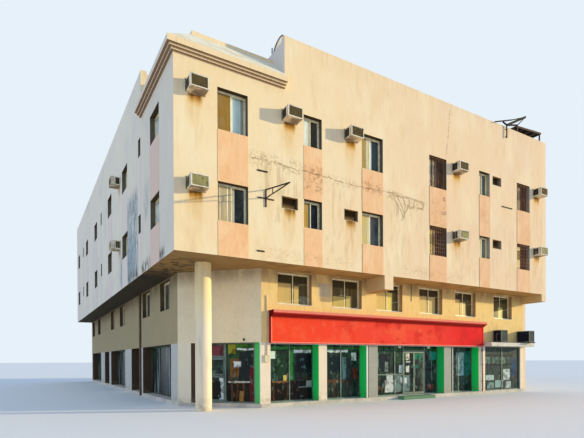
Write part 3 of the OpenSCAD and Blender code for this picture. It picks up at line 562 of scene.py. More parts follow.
def pier_coat():
    """Piers: cream and grey fronts, with the sides of the openings painted green."""
    joint = repeat(Z, PIER_TILE).step(0.46, 0.495)
    grey = mix(joint * 0.3, mottled((180, 177, 160), (160, 158, 142), 2.6), (130, 122, 106))
    greys = most(*[X.band(low, high, 0.01) for low, high in GREY_PIERS])
    faces_front = NORMAL_Y.step(-0.85, -0.95)
    faces_side = NORMAL_X.step(-0.85, -0.95) * X.step(SETBACK + 0.03, SETBACK + 0.01)
    faces_cut = NORMAL_X.step(-0.5, -0.65) * NORMAL_Y.step(-0.5, -0.65)
    # The corner shop's left jamb, which faces the front, is brown, and its right one is bright green
    brown_jamb = faces_front * X.step(SETBACK + 0.9, SETBACK + 0.7)
    lit_jamb = CUT_U.step(3.0, 3.05) * Y.step(SETBACK + 0.05, SETBACK + 0.1) * faces_front.step(0.5, 0.3)
    colour = over(
        mottled((44, 248, 118), (32, 228, 102), 1.2, 0.5, detail=4),
        (X.band(13.5, 14.0, 0.1), (10, 200, 108)), (X.step(20.0, 20.2), (226, 214, 186)),
        (faces_front, mix(greys, mottled((255, 236, 206), (238, 216, 184), 1.8), grey)),
        (faces_side, mottled((214, 208, 192), (196, 190, 174), 1.6, 0.4)),
        (faces_cut, mottled((255, 242, 206), (252, 230, 190), 1.6)),
        (brown_jamb, (92, 70, 50)), (lit_jamb * X.step(4.6, 4.4), (84, 206, 112)),
        stain_and_painted_light((150, 130, 100), 0.5, 5, shift=4, edge=(0.4, 0.66), mask=Z.step(PLINTH + 0.5, PLINTH)))
    return coat("pier_coat", colour, 0.7, bump=(noise(14, detail=4), 0.004, 0.5))


def plain_coat(name, high, low, dark, scale=1.5, upright=1, roughness=0.8):
    """A coat of two near tones, with darker streaks or stains over it."""
    colour = mottled(high, low, scale, upright, edge=(0.36, 0.66))
    if dark:
        colour = over(colour, stain_and_painted_light(dark, 0.5, scale * 4, upright, 6, 0.65, shift=5, edge=(0.52, 0.74)))
    return coat(name, colour, roughness, bump=(noise(12, upright, shift=2), 0.006, 0.6))


def column_coat():
    """The round corner column: pale paint, whiter low down and yellower high up as painted sunlight, with
    runs from its head and a dirty foot.
    """
    colour = over(
        mix(Z.step(4.8, 2.6), (255, 230, 168), (254, 234, 196)),
        stain_and_painted_light((230, 210, 168), 0.5, 1.2, 0.5), stain_and_painted_light((196, 174, 136), 0.35, 8, 0.1, shift=3),
        stain_and_painted_light((172, 150, 118), 0.5, 12, 0.3, shift=6, mask=Z.step(5.0, 5.4)),
        stain_and_painted_light((160, 140, 112), 0.6, 4, detail=6, shift=8, edge=(0.38, 0.66), mask=Z.step(0.7, 0.0)))
    return coat("column_paint", colour, 0.8, 0.15, bump=(noise(8, 0.6), 0.006, 0.5))


STEP_TILE = 0.2


def step_tiles():
    """Green tiles on the entrance step, with pale joints."""
    joints = most(*[repeat(axis, STEP_TILE).step(0.47, 0.495) for axis in (X, Y)])
    colour = mix(joints * 0.3, mottled((112, 150, 112), (84, 124, 88), 5), (150, 170, 146))
    return coat("step_tiles", colour, 0.6, bump=(noise(9, detail=4) - joints, 0.003, 0.6))


def party_coat():
    """Bare render on the party wall, whose front end takes the front's cream."""
    colour = over(
        mottled((206, 198, 180), (194, 186, 168), 0.7, 0.4, edge=(0.36, 0.66)),
        stain_and_painted_light((156, 146, 128), 0.3, 1.4, 0.25, 7, 0.7, shift=5),
        (NORMAL_Y.step(-0.6, -0.8), over((250, 220, 177), stain_and_painted_light((228, 196, 148), 0.3, 11, 0.12))))
    return coat("party_render", colour, 0.9, 0.12, bump=(noise(8), 0.008, 0.6))


# Windows and shops

# For each window of the front, on the lower and the upper storey: strips from left to right, as the share of
# the window's width where each ends and its tone
STRIPS = (
    (((0.12, 170, 148, 104), (0.15, 255, 244, 206), (0.36, 206, 184, 136), (0.4, 255, 244, 206),
      (0.5, 190, 168, 122), (0.58, 214, 192, 146), (0.62, 255, 244, 206), (1, 44, 46, 42)),
     ((0.5, 164, 124, 50), (0.68, 236, 250, 226), (0.84, 214, 230, 206), (1, 160, 160, 134))),
    (((0.36, 206, 160, 66), (0.5, 92, 96, 78), (1, 24, 32, 40)),
     ((0.36, 244, 248, 226), (0.5, 206, 200, 170), (1, 66, 58, 42))),
    (((0.4, 222, 196, 122), (0.5, 236, 226, 186), (0.74, 100, 100, 88), (1, 64, 68, 66)),
     ((0.34, 190, 154, 74), (0.5, 228, 216, 172), (0.62, 255, 255, 236), (1, 66, 80, 78))),
    (((0.34, 250, 218, 116), (0.44, 120, 84, 50), (0.5, 236, 200, 126), (1, 92, 60, 40)),
     ((0.16, 150, 128, 90), (0.28, 232, 220, 180), (0.35, 70, 50, 34), (0.44, 214, 198, 150),
      (0.52, 60, 44, 30), (0.6, 150, 126, 90), (1, 48, 36, 28))),
    (((0.2, 206, 196, 132), (0.42, 180, 174, 136), (0.6, 100, 102, 86), (1, 142, 138, 114)),
     ((0.1, 60, 50, 30), (0.22, 240, 222, 142), (0.4, 230, 224, 190), (0.58, 40, 44, 38),
      (0.7, 164, 162, 142), (1, 98, 98, 84))),
    (((0.5, 250, 218, 110), (0.6, 150, 110, 58), (1, 92, 50, 36)),
     ((0.24, 176, 150, 104), (0.34, 70, 50, 36), (0.5, 190, 162, 112), (0.6, 90, 60, 44), (1, 80, 42, 32))),
)


def strips(start, width, rows):
    """Upright strips of tone across a window."""
    *others, (_, *tint) = rows
    for share, *tone in reversed(others):
        end = start + width * share
        tint = mix(X.step(end - 0.006, end + 0.006), tone, tint)
    return tint


def window_glass():
    """Tinted window panes: curtains show behind some sashes of the front and dim rooms behind the others."""
    colour = over(mix(ISLAND.step(0.45, 0.6), (92, 100, 104), (128, 136, 138)),
                  # Panes facing the side street are pale, a painted reflection of the sky
                  (NORMAL_X.step(-0.5, -0.7), mix(ISLAND, (236, 246, 238), (176, 188, 186))))
    for (start, width, _), rows in zip(WINDOWS, STRIPS):
        for foot, row in zip(STOREY_Z, rows):
            storey = Z.band(foot, foot + STOREY, 0.01) * Y.step(1.0, 0.9)
            pane = storey * X.band(start - 0.01, start + width + 0.01, 0.005)
            colour = mix(pane, colour, strips(start, width, row))
    colour = over(colour, stain_and_painted_light((84, 76, 54), 0.3, 26, 0.05, detail=3, edge=(0.45, 0.7)),
                  stain_and_painted_light((170, 178, 172), 0.18, 1.7, 0.7, shift=6),
                  # A dark band under each window head is painted shade
                  *[(Z.band(z - 0.14, z, 0.02) * 0.5, (40, 34, 24)) for z in HEAD_Z])
    return coat("window_glass", colour, 0.3, 0.12)


# Painted sunlight on parts of the mezzanine's panes: left, right, top and tone
PAINTED_SUNLIGHT = (
    (4.6, 5.2, 4.97, 212, 184, 112), (5.36, 5.58, 4.9, 216, 190, 112), (5.62, 6.05, 4.5, 132, 132, 104),
    (7.3, 7.93, 4.62, 208, 186, 104), (8.02, 8.32, 4.68, 208, 186, 104), (9.7, 10.31, 5.0, 224, 192, 112),
    (10.4, 10.75, 5.0, 238, 216, 108), (12.4, 13.0, 4.98, 220, 190, 112),
    (13.1, 13.62, 4.98, 214, 188, 116), (15.0, 15.42, 4.98, 226, 194, 112),
    (15.46, 15.9, 4.86, 226, 194, 112), (18.6, 19.0, 4.76, 210, 200, 82),
)


def mezzanine_glass():
    """The mezzanine's panes: painted shade, with painted sunlight on parts of them, painted reflections, and
    a dark band of painted shadow from the overhang.
    """
    front = Y.step(3.0, 2.5)
    painted_sun = [(front * X.band(left, right, 0.01) * Z.step(top + 0.01, top - 0.01), tone)
             for left, right, top, *tone in PAINTED_SUNLIGHT]
    # Slanting pale lines, broken up by a noise, are painted reflections
    lines = repeat(X * -0.16 + Z, 0.625).step(0.02, 0.008) * noise(1.1, detail=2, shift=3).step(0.5, 0.56)
    # The base tone is painted shade, and the band over 4.98 m is the overhang's painted shadow
    colour = over((96, 84, 46), *painted_sun, stain_and_painted_light((250, 220, 146), 0.2, 9, 0.1, edge=(0.5, 0.7)),
                  (Z.step(4.98, 5.04) * 0.85, (64, 52, 26)), (lines * 0.75, (240, 226, 176)),
                  (NORMAL_X.step(-0.5, -0.7),
                   mottled((96, 96, 82), (58, 60, 54), 1.3, detail=4, shift=5, edge=(0.4, 0.65))))
    return coat("mezzanine_glass", colour, 0.3, 0.12)


# Goods and fittings that show behind the shops' glass: left, right, foot, top and tone. The thin near-white
# strips at about 2.2 m are lit ceiling tubes, painted as light.
GOODS = (
    (4.3, 6.5, 0.1, 1.0, 26, 22, 18), (4.41, 6.34, 2.3, 2.42, 52, 140, 56),
    (5.21, 5.5, 1.03, 2.36, 40, 116, 48), (4.39, 4.6, 1.91, 2.23, 232, 240, 232),
    (5.48, 6.34, 2.16, 2.29, 240, 250, 248), (5.6, 6.36, 1.35, 2.1, 14, 24, 30),
    (4.6, 5.1, 1.15, 2.05, 30, 60, 36), (4.45, 5.3, 0.93, 1.01, 132, 92, 56),
    (4.48, 4.56, 0.2, 0.93, 92, 56, 34), (5.16, 5.24, 0.2, 0.93, 92, 56, 34),
    (5.55, 6.36, 1.05, 1.14, 58, 44, 30), (4.55, 4.72, 1.02, 1.3, 66, 92, 84),
    (4.98, 5.14, 1.02, 1.24, 210, 186, 90), (5.7, 6.2, 0.7, 0.75, 122, 130, 118),
    (6.1, 6.4, 0.72, 0.98, 150, 158, 146), (7.1, 9.0, 2.33, 2.42, 44, 120, 54),
    (7.18, 8.32, 2.2, 2.31, 240, 250, 248), (8.5, 8.78, 1.83, 2.19, 238, 240, 228),
    (8.6, 8.84, 1.04, 1.5, 112, 34, 30), (8.0, 8.2, 0.95, 2.0, 110, 150, 140),
    (7.22, 8.15, 0.86, 1.0, 96, 64, 42), (7.3, 7.9, 1.3, 2.0, 12, 30, 36),
    (8.2, 8.95, 0.9, 0.98, 52, 40, 30), (7.5, 7.58, 0.2, 0.86, 72, 46, 30),
    (8.3, 8.38, 0.2, 0.9, 52, 40, 30), (9.75, 14.2, 2.3, 2.44, 34, 96, 48),
    (10.14, 10.83, 1.28, 2.13, 30, 40, 42), (10.5, 10.72, 1.3, 1.75, 126, 134, 126),
    (10.0, 10.12, 1.5, 2.2, 110, 132, 120), (9.8, 10.1, 0.2, 0.8, 92, 60, 44),
    (10.5, 11.2, 0.3, 0.9, 214, 214, 204), (10.6, 11.0, 0.9, 1.2, 206, 208, 200),
    (11.4, 11.67, 1.24, 1.59, 168, 196, 200), (11.85, 12.08, 1.85, 2.16, 238, 232, 206),
    (11.85, 12.14, 1.71, 1.79, 232, 232, 214), (11.85, 12.08, 1.24, 1.56, 222, 224, 206),
    (11.2, 12.1, 0.3, 1.1, 116, 140, 132), (11.5, 11.9, 0.7, 0.98, 222, 224, 214),
    (12.37, 12.94, 1.88, 2.15, 20, 128, 92), (12.18, 12.68, 1.45, 1.61, 34, 110, 88),
    (13.45, 14.0, 1.85, 2.27, 40, 158, 134), (13.3, 13.75, 0.35, 0.62, 132, 52, 34),
    (12.95, 13.0, 0.3, 2.4, 120, 134, 122), (13.6, 13.64, 0.9, 1.9, 130, 142, 130),
    (15.13, 15.48, 0.3, 2.3, 20, 34, 36), (15.51, 16.07, 1.0, 2.23, 150, 186, 176),
    (16.07, 16.7, 1.0, 2.3, 40, 112, 96), (17.2, 20.6, 0.15, 2.46, 52, 66, 58),
    (17.3, 19.7, 2.02, 2.12, 18, 30, 24), (17.3, 19.7, 1.5, 1.6, 22, 34, 28),
    (17.3, 17.75, 1.62, 2.0, 100, 128, 108), (17.95, 18.45, 1.64, 1.98, 84, 112, 96),
    (18.65, 19.1, 1.62, 2.0, 108, 134, 114), (17.4, 18.1, 0.72, 1.0, 176, 198, 186),
    (18.2, 18.9, 0.3, 0.7, 150, 176, 162), (17.5, 18.1, 0.26, 0.6, 124, 150, 136),
    (18.9, 19.5, 0.7, 1.3, 196, 210, 198), (19.66, 20.0, 0.9, 1.9, 28, 66, 104),
    (19.1, 19.6, 0.24, 0.62, 186, 200, 186),
)
CORNER_GOODS = (
    (0.9, 3.2, 0.1, 1.0, 24, 24, 20), (1.36, 1.97, 2.06, 2.48, 128, 62, 66),
    (1.36, 1.97, 1.99, 2.04, 216, 206, 188), (1.36, 1.97, 1.24, 1.31, 110, 122, 108),
    (1.36, 1.97, 1.59, 1.62, 66, 84, 74), (0.6, 1.36, 0.2, 1.98, 12, 34, 26),
    (2.05, 3.2, 2.31, 2.5, 60, 124, 36), (2.08, 2.41, 2.12, 2.5, 158, 158, 44),
    (2.44, 3.17, 2.26, 2.34, 240, 250, 246), (2.15, 2.53, 1.19, 1.91, 128, 84, 44),
    (2.53, 2.96, 1.07, 2.19, 26, 40, 44), (2.3, 2.62, 1.59, 1.82, 224, 232, 222),
    (2.06, 3.0, 0.95, 1.02, 206, 200, 182), (2.18, 2.26, 0.2, 0.95, 96, 62, 40),
    (2.42, 2.5, 0.2, 0.95, 84, 54, 36), (2.68, 2.76, 0.2, 0.95, 96, 62, 40),
    (2.55, 2.72, 0.2, 0.62, 170, 118, 50), (2.99, 3.14, 0.21, 1.61, 104, 26, 28),
    (1.74, 1.88, 0.3, 1.05, 206, 218, 214), (1.68, 1.94, 1.02, 1.14, 220, 230, 226),
    (1.68, 1.94, 0.19, 0.32, 206, 218, 214),
)


def shop_glass(name, across, goods):
    """Shop glass: a dark room with green walls, blurred goods and ceiling tubes painted as pale light, and
    faint painted reflections.
    """
    blur, lift = ((noise(3.5, detail=2, shift=shift) - 0.5) * 0.1 for shift in (3, 8))
    place = across + blur
    height = Z + lift
    things = [(place.band(left, right, 0.016) * height.band(foot, top, 0.016), tone)
              for left, right, foot, top, *tone in goods]
    side = NORMAL_X.step(-0.8, -0.95)
    colour = over(
        mottled((28, 40, 34), (50, 72, 58), 1.6, 0.45, detail=3, edge=(0.42, 0.6)),
        stain_and_painted_light((60, 84, 74), 0.6, 5, 0.5, shift=4, edge=(0.54, 0.66)),
        stain_and_painted_light((38, 88, 44), 0.6, 1.3, shift=7, edge=(0.52, 0.62), mask=Z.step(1.2, 1.9)), *things,
        stain_and_painted_light((12, 16, 14), 0.6, 5, 0.7, 3, shift=2, edge=(0.52, 0.62)),
        stain_and_painted_light((122, 84, 54), 0.5, 5, 0.6, 3, shift=9, edge=(0.58, 0.66), mask=Z.step(1.5, 1.1)),
        stain_and_painted_light((120, 142, 130), 0.5, 4.5, 0.7, 3, shift=11, edge=(0.6, 0.68)),
        # Dark and pale upright streaks on the side street's glass are painted reflections
        stain_and_painted_light((16, 24, 22), 0.9, 3, 0.06, shift=5, edge=(0.44, 0.54), mask=side),
        stain_and_painted_light((150, 168, 158), 0.8, 5, 0.06, shift=13, edge=(0.56, 0.62), mask=side))
    return coat(name, colour, 0.25, 0.14)


def metal(name, high, low, roughness=0.5, metallic=0.3, *layers):
    """Painted or bare metal in two near tones."""
    colour = over(mottled(high, low, 6, edge=(0.4, 0.7)), *layers)
    return coat(name, colour, roughness, metallic=metallic, bump=(noise(30, detail=3), 0.001, 0.5))


def window_metal():
    """The flats' and the mezzanine's window frames: pale, and brown in the barred windows."""
    barred = most(*[X.band(WINDOWS[i][0], WINDOWS[i][0] + WINDOWS[i][1], 0.01) for i in BARRED])
    brown = barred * Z.step(SOFFIT, SOFFIT + 0.1) * Y.step(1.0, 0.9) * 0.92
    return metal("window_aluminium", (248, 234, 190), (220, 206, 164), 0.5, 0.15, (brown, (80, 56, 38)))


# Signs and fittings

SIGN_LEFT = 4.0
SIGN_SHEET = 2.44


def sign_face():
    """The red sheet of the sign, faded and orange to the left and darker at its far end."""
    faded = X.step(14.6, 11.0)
    edges = most(Z.band(2.55, 2.58, 0.01), X.step(4.14, 4.1))
    seam = repeat(X - SIGN_LEFT, SIGN_SHEET).step(0.497, 0.4995)
    colour = over(
        mix(X.step(4.0, 11.0), (255, 74, 40), (250, 70, 50)), (X.step(12.0, 16.0), (240, 18, 28)),
        stain_and_painted_light((255, 100, 62), 0.6, 0.9, 1.5, shift=2, edge=(0.48, 0.62), mask=faded),
        stain_and_painted_light((216, 22, 20), 0.7, 1.1, shift=8, edge=(0.5, 0.64), mask=X.step(6.5, 9.0)),
        stain_and_painted_light((255, 120, 88), 0.25, 3, shift=5, edge=(0.54, 0.7), mask=most(faded, 0.3)),
        (X.step(15.2, 16.7) * Z.step(3.1, 2.7) * 0.7, (178, 14, 26)), (edges * 0.7, (255, 176, 150)),
        # The faces other than the front are painted a deeper red, and the underside nearly black, as shade
        (seam * 0.3, (150, 20, 16)), (NORMAL_Y.step(-0.6, -0.4), (196, 24, 24)),
        (NORMAL_Z.step(-0.4, -0.6), (70, 14, 12)))
    return coat("sign_red", colour, 0.7, 0.08, bump=(noise(3, detail=3) - seam, 0.004, 0.5))


def sign_lip():
    """The sign's projecting top: salmon above, partly its paint and partly painted sunlight; below it two
    dark bands with a red line between, partly deep red paint and partly painted shade.
    """
    riser = mix(Z.step(SIGN_TOP - 0.115, SIGN_TOP - 0.095), (176, 34, 28),
                mottled((244, 148, 118), (234, 124, 98), 2.2))
    colour = over(mottled((128, 14, 20), (96, 8, 14), 2.2, detail=4), (NORMAL_Y.step(-0.5, -0.9), riser),
                  (NORMAL_Z.step(0.3, 0.7), (246, 170, 138)))
    return coat("sign_top_red", colour, 0.7, 0.08, bump=(noise(12, detail=4), 0.003, 0.5))


def casing():
    """Sheet-metal casings: off-white, dusty on top, browner underneath partly as rust and partly as painted
    shade, and rust-stained low down.
    """
    under = mottled((232, 212, 168), (116, 92, 58), 1.7, detail=4, shift=4, edge=(0.4, 0.6))
    colour = over(mix(ISLAND.step(0.3, 0.7), (218, 204, 172), (246, 236, 210)),
                  stain_and_painted_light((160, 148, 126), 0.5, 6, edge=(0.44, 0.7)),
                  stain_and_painted_light((140, 104, 68), 0.6, 14, 0.4, 6, 0.7, shift=3, edge=(0.56, 0.68)),
                  # Undersides are patchy pale and dark brown, partly rust and partly painted shade
                  (NORMAL_Z.step(-0.5, -0.9) * 0.85, under))
    return coat("unit_casing", colour, 0.65, bump=(noise(20, detail=4), 0.002, 0.5))


def coil_coat(name, upper, lower):
    """Coils and grilles of the window units: paler in the lower storey's."""
    colour = over(mix(Z.step(9.2, 9.0), upper, lower),
                  stain_and_painted_light((54, 46, 32), 0.35, 6, detail=6, edge=(0.44, 0.7)))
    return coat(name, colour, 0.6)


DISH_MIDDLE = (4.95, 1.77, 14.71)


def dish_coat():
    """The dish: pale grey with a dark rim, and a dark mast and feed."""
    face = Z.step(14.1, 14.2) * vector("DISTANCE", PLACE, DISH_MIDDLE, output="Value").step(0.42, 0.39)
    return coat("dish_grey", mix(face, (70, 70, 68), (206, 204, 200)), 0.6)


# Materials shared by the pieces
DARK_STEEL = metal("dark_steel", (44, 38, 36), (60, 44, 36), 0.7)
WHITE_TRIM = plain_coat("white_trim", (246, 242, 230), (232, 226, 210), (180, 170, 150), 3)
COIL = coil_coat("unit_coil", (110, 88, 50), (190, 176, 104))
GRILLE = coil_coat("unit_grille", (138, 118, 74), (206, 196, 140))
# Black, for dark studs, and as painted shade in a pier's gap and the units' air slots
BLACK_AND_SHADE = plain_coat("black_and_painted_shade", (24, 24, 24), (16, 16, 16), (36, 32, 28), 5)


def dress(material, nodes):
    """Gives CAD nodes a material."""
    for name in nodes.split():
        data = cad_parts[name].data
        data.materials.clear()
        data.materials.append(material)


def dress_frame():
    """Gives every CAD node its finish."""
    dress(facade(),
          "front_wall_first front_wall_second side_wall_first side_wall_second first_floor_slab "
          "second_floor_slab roof_slab front_parapet side_parapet rear_parapet corner_return_wall "
          "overhang_beams rear_walls")
    dress(cornice_plaster(), "corner_roof")
    dress(panel_paint(), "front_panels side_panels")
    dress(shop_wall("ochre_wall", (255, 218, 140), (196, 166, 116), (206, 186, 150)),
          "front_lower_wall")
    dress(shop_wall("greige_wall", (255, 216, 142), (180, 162, 122), (255, 236, 192)),
          "corner_lower_wall side_lower_wall")
    dress(pier_coat(), "front_piers corner_piers side_piers")
    dress(plain_coat("lintel_green", (34, 128, 68), (22, 100, 54), None), "shop_lintels")
    dress(column_coat(), "corner_column")
    dress(party_coat(), "party_wall")
    dress(plain_coat("floor_concrete", (222, 212, 192), (196, 186, 168), (158, 148, 132)),
          "ground_slab mezzanine_slab")
    dress(step_tiles(), "entrance_step")
    dress(window_metal(), "upper_window_frames mezzanine_window_frames")
    dress(metal("shop_aluminium", (116, 132, 122), (90, 106, 98)),
          "front_shop_frames corner_shop_frame door_transoms door_left_leaf door_right_leaf corner_door_leaf")
    dress(metal("side_shop_metal", (104, 100, 88), (84, 82, 72)), "side_shop_frames")
    dress(window_glass(), "upper_window_glass")
    dress(mezzanine_glass(), "mezzanine_window_glass")
    dress(shop_glass("shop_glass", X, GOODS),
          "front_shop_glass side_shop_glass door_left_glass door_right_glass")
    dress(shop_glass("corner_shop_glass", CUT_U, CORNER_GOODS),
          "corner_shop_glass corner_door_glass")
    dress(metal("steel", (176, 176, 172), (140, 140, 136), 0.4, 0.8), "door_pivots")
    dress(sign_face(), "sign_box")
    dress(sign_lip(), "sign_top")
    dress(plain_coat("ledge_concrete", (232, 224, 204), (208, 198, 176), (156, 142, 116)),
          "condenser_ledge")
    dress(casing(), "front_air_conditioners side_air_conditioners")
    dress(plain_coat("condenser_casing", (128, 130, 120), (104, 106, 98), (84, 74, 58), 4),
          "condensers")
    dress(metal("aerial_steel", (12, 13, 15), (22, 18, 16), 0.75, 0.1), "aerial_mount")
    dress(DARK_STEEL, "wall_bracket")
    dress(metal("canopy_sheet", (74, 54, 38), (58, 42, 32), 0.7), "roof_canopy")
    dress(dish_coat(), "roof_dish")
    dress(plain_coat("pipe_brown", (124, 92, 68), (100, 74, 56), (70, 52, 42), 4, 0.3, 0.5),
          "downpipe")


# Pieces on the upper storeys

UNIT_RIM = 0.035
UNIT_RECESS = 0.03
FIN_PITCH = 0.02


def unit_faces():
    """Each window air conditioner as its face, its span along it, how far it stands out, and its rise."""
    for low, high in WINDOW_UNITS:
        yield FRONT, (low.x, high.x), -low.y, (low.z, high.z)
    for low, high in SIDE_UNITS:
        yield SIDE, (low.y, high.y), -low.x, (low.z, high.z)


def unit_grilles():
    """Behind each casing's rim a coil of upright fins, and a wire grille of level bars over it."""
    coils = Build("unit_coils")
    fins = Build("unit_fins")
    wires = Build("unit_wires")
    for face, (left, right), out, (foot, top) in unit_faces():
        left += UNIT_RIM
        right -= UNIT_RIM
        rise = (foot + UNIT_RIM, top - UNIT_RIM)
        back = out - UNIT_RECESS
        coils.box(face, (left, right), (back, back + 0.006), rise)
        for u in between(left, right, int((right - left) / FIN_PITCH)):
            fins.box(face, (u - 0.002, u + 0.002), (back + 0.006, back + 0.018), rise)
        for z in between(*rise, 8):
            wires.box(face, (left, right), (back + 0.019, back + 0.024), (z - 0.003, z + 0.003))
        for u in between(left, right, 4):
            wires.box(face, (u - 0.004, u + 0.004), (back + 0.019, back + 0.027), rise)
    coils.done(COIL)
    fins.done(GRILLE)
    wires.done(GRILLE)


SLAT_COUNT = 5
SLAT_PITCH = 0.055
LOWEST_SLAT = 0.105


def unit_louvres():
    """A dark louvre in the sides of each casing, painted shade over its air slots, with pale slats between
    them.
    """
    panels = Build("unit_louvres")
    slats = Build("unit_slats")
    for face, (left, right), out, (foot, top) in unit_faces():
        span = (0.015, out * 0.64) if face is FRONT else (0.05, out * 0.5)
        rise = (foot + 0.05, top - 0.04)
        for outer, inner in ((left - 0.002, left + 0.01), (right + 0.002, right - 0.01)):
            panels.box(face, (min(outer, inner), max(outer, inner)), span, rise)
            across = (outer - 0.004, outer + 0.004)
            for i in range(SLAT_COUNT):
                z = foot + LOWEST_SLAT + i * SLAT_PITCH
                slats.box(face, across, span, (z, z + 0.006))
            slats.box(face, across, (out * 0.34, out * 0.34 + 0.012), rise)
    panels.done(BLACK_AND_SHADE)
    slats.done(GRILLE)


CONDENSER_FOOT = 0.05
CONDENSER_RIM = 0.035
CONDENSER_RECESS = 0.022


def condenser_grilles():
    """Louvres in the condensers' fronts and fins in their left sides, and a steel bearer under each."""
    louvres = Build("condenser_louvres")
    fins = Build("condenser_fins")
    bearers = Build("condenser_bearers")
    for low, high in solids("condensers"):
        foot = low.z + CONDENSER_FOOT
        tall = (foot + CONDENSER_RIM, high.z - CONDENSER_RIM)
        wide = (low.x + CONDENSER_RIM, high.x - CONDENSER_RIM)
        long = (low.y + CONDENSER_RIM, high.y - CONDENSER_RIM)
        out = SETBACK - low.y
        back = out - CONDENSER_RECESS
        louvres.box(SHOPS, wide, (back - 0.004, back), tall)
        for z in between(*tall, 16):
            louvres.box(SHOPS, wide, (back, out - 0.006), (z - 0.006, z + 0.006))
        bearers.box(SHOPS, (low.x - 0.06, high.x + 0.06), (out - 0.03, out + 0.01),
                    (low.z - 0.01, foot), 0.004)
        bearers.box(SHOPS, (low.x - 0.34, low.x - 0.31), (0.44, 0.47), (low.z, foot + 0.42))
        bearers.box(SHOPS, (low.x - 0.34, low.x + 0.01), (0.44, 0.47), (foot + 0.39, foot + 0.42))
        out = SETBACK - low.x
        back = out - CONDENSER_RECESS
        fins.box(SIDE_SHOPS, long, (back - 0.004, back), tall)
        for y in between(*long, 30):
            fins.box(SIDE_SHOPS, (y - 0.003, y + 0.003), (back, out - 0.01), tall)
    louvres.done(plain_coat("condenser_louvre", (92, 100, 90), (70, 78, 70), (48, 50, 44), 5))
    # The fins in the left sides are dark blue-grey, partly their own colour and partly painted shade
    fins.done(plain_coat("condenser_coil_painted_shade", (40, 46, 58), (26, 30, 40), (60, 60, 60), 5))
    bearers.done(DARK_STEEL)


# The wall sleeves without a unit, each by its place along the front and its storey
EMPTY_SLEEVES = ((4.355, 0), (7.22, 0), (16.55, 0), (16.55, 1))


def sleeve_edges():
    """A thin pale frame round each wall sleeve, and a brown board behind each empty one, painted with light
    and shade.
    """
    boards = Build("sleeve_boards")
    for x, level in EMPTY_SLEEVES:
        z = SLEEVE_Z[level]
        boards.box(FRONT, (x - SLEEVE_HALF - 0.02, x + SLEEVE_HALF + 0.02), (-WALL_T - 0.012, -WALL_T),
                   (z - 0.02, z + SLEEVE_H + 0.02))
    # The board is bright orange near the sleeve's foot as painted light, less so right of 9 m, and dark above
    # it as painted shade
    low = most(*[Z.band(z - 0.1, z + 0.16, 0.14) for z in SLEEVE_Z])
    colour = mix(low * (X.step(9.0, 8.0) * 0.6 + 0.4), (78, 58, 30), (255, 194, 108))
    boards.done(coat("sleeve_board", colour, 0.8, 0.1))
    edges = Build("sleeve_edges")
    for x in SLEEVE_X:
        for z in SLEEVE_Z:
            edges.frame(FRONT, (x - SLEEVE_HALF - 0.012, x + SLEEVE_HALF + 0.012), (0, 0.008),
                        (z - 0.012, z + SLEEVE_H + 0.012), 0.014)
    edges.done(plain_coat("sleeve_edge", (214, 196, 160), (176, 156, 120), (110, 90, 62), 6))


RING_RADIUS = 0.08


def window_bars():
    """Painted steel bars in the two barred windows of each storey, and rings in one of them."""
    bars = Build("window_bars")
    for level, head in enumerate(HEAD_Z):
        for window in BARRED:
            start, width, heights = WINDOWS[window]
            foot = head - heights[level]
            for u in between(start, start + width, 9):
                bars.rod([FRONT.at(u, -0.05, foot), FRONT.at(u, -0.05, head)], 0.009, 6)
            shares = (0.03, 0.97) if level else [0.03 + 0.94 * i / 7 for i in range(8)]
            for share in shares:
                z = foot + heights[level] * share
                bars.box(FRONT, (start, start + width), (-0.068, -0.058), (z - 0.008, z + 0.008))
    start, width, heights = WINDOWS[BARRED[0]]
    turns = [2 * math.pi * k / 12 for k in range(13)]
    for across, rise in ((0.14, 0.2), (0.34, 0.16), (0.52, 0.22), (0.26, 0.34)):
        u = start + width * across
        z = HEAD_Z[1] - heights[1] * (1 - rise)
        ring = [FRONT.at(u + RING_RADIUS * math.cos(a), -0.036, z + RING_RADIUS * math.sin(a)) for a in turns]
        bars.rod(ring, 0.007, 5)
    maroon = plain_coat("bar_paint", (166, 112, 76), (128, 82, 54), (200, 160, 112), 8, roughness=0.7)
    bars.done(maroon)


STRAPS = ((3.0, 3.42, 8.65), (2.98, 3.28, 5.77), (16.93, 17.8, 9.7))


def wall_straps():
    """Short steel straps left on the front wall."""
    straps = Build("wall_straps")
    for left, right, z in STRAPS:
        straps.box(FRONT, (left, right), (0, 0.025), (z - 0.025, z + 0.025), 0.003)
    straps.done(DARK_STEEL)


CONDUIT_X = 11.75


def mezzanine_sills():
    """Thin white sills under the mezzanine's windows, and a thin conduit between two of them."""
    sills = Build("mezzanine_sills")
    for low, high in solids("mezzanine_window_frames"):
        if high.y - low.y > 0.05 and high.x - low.x > 1 and low.y < 2:
            sills.box(SHOPS, (low.x - 0.02, high.x + 0.02), (-0.1, 0.012),
                      (low.z - 0.018, low.z + 0.004), 0.003)
    sills.done(WHITE_TRIM)
    conduit = Build("mezzanine_conduit")
    conduit.rod([SHOPS.at(CONDUIT_X, 0.012, z) for z in (4.65, 5.44)], 0.012, 6)
    conduit.done(DARK_STEEL)


# Pieces on the shops

SIGN_SPAN = (4.12, 16.8)


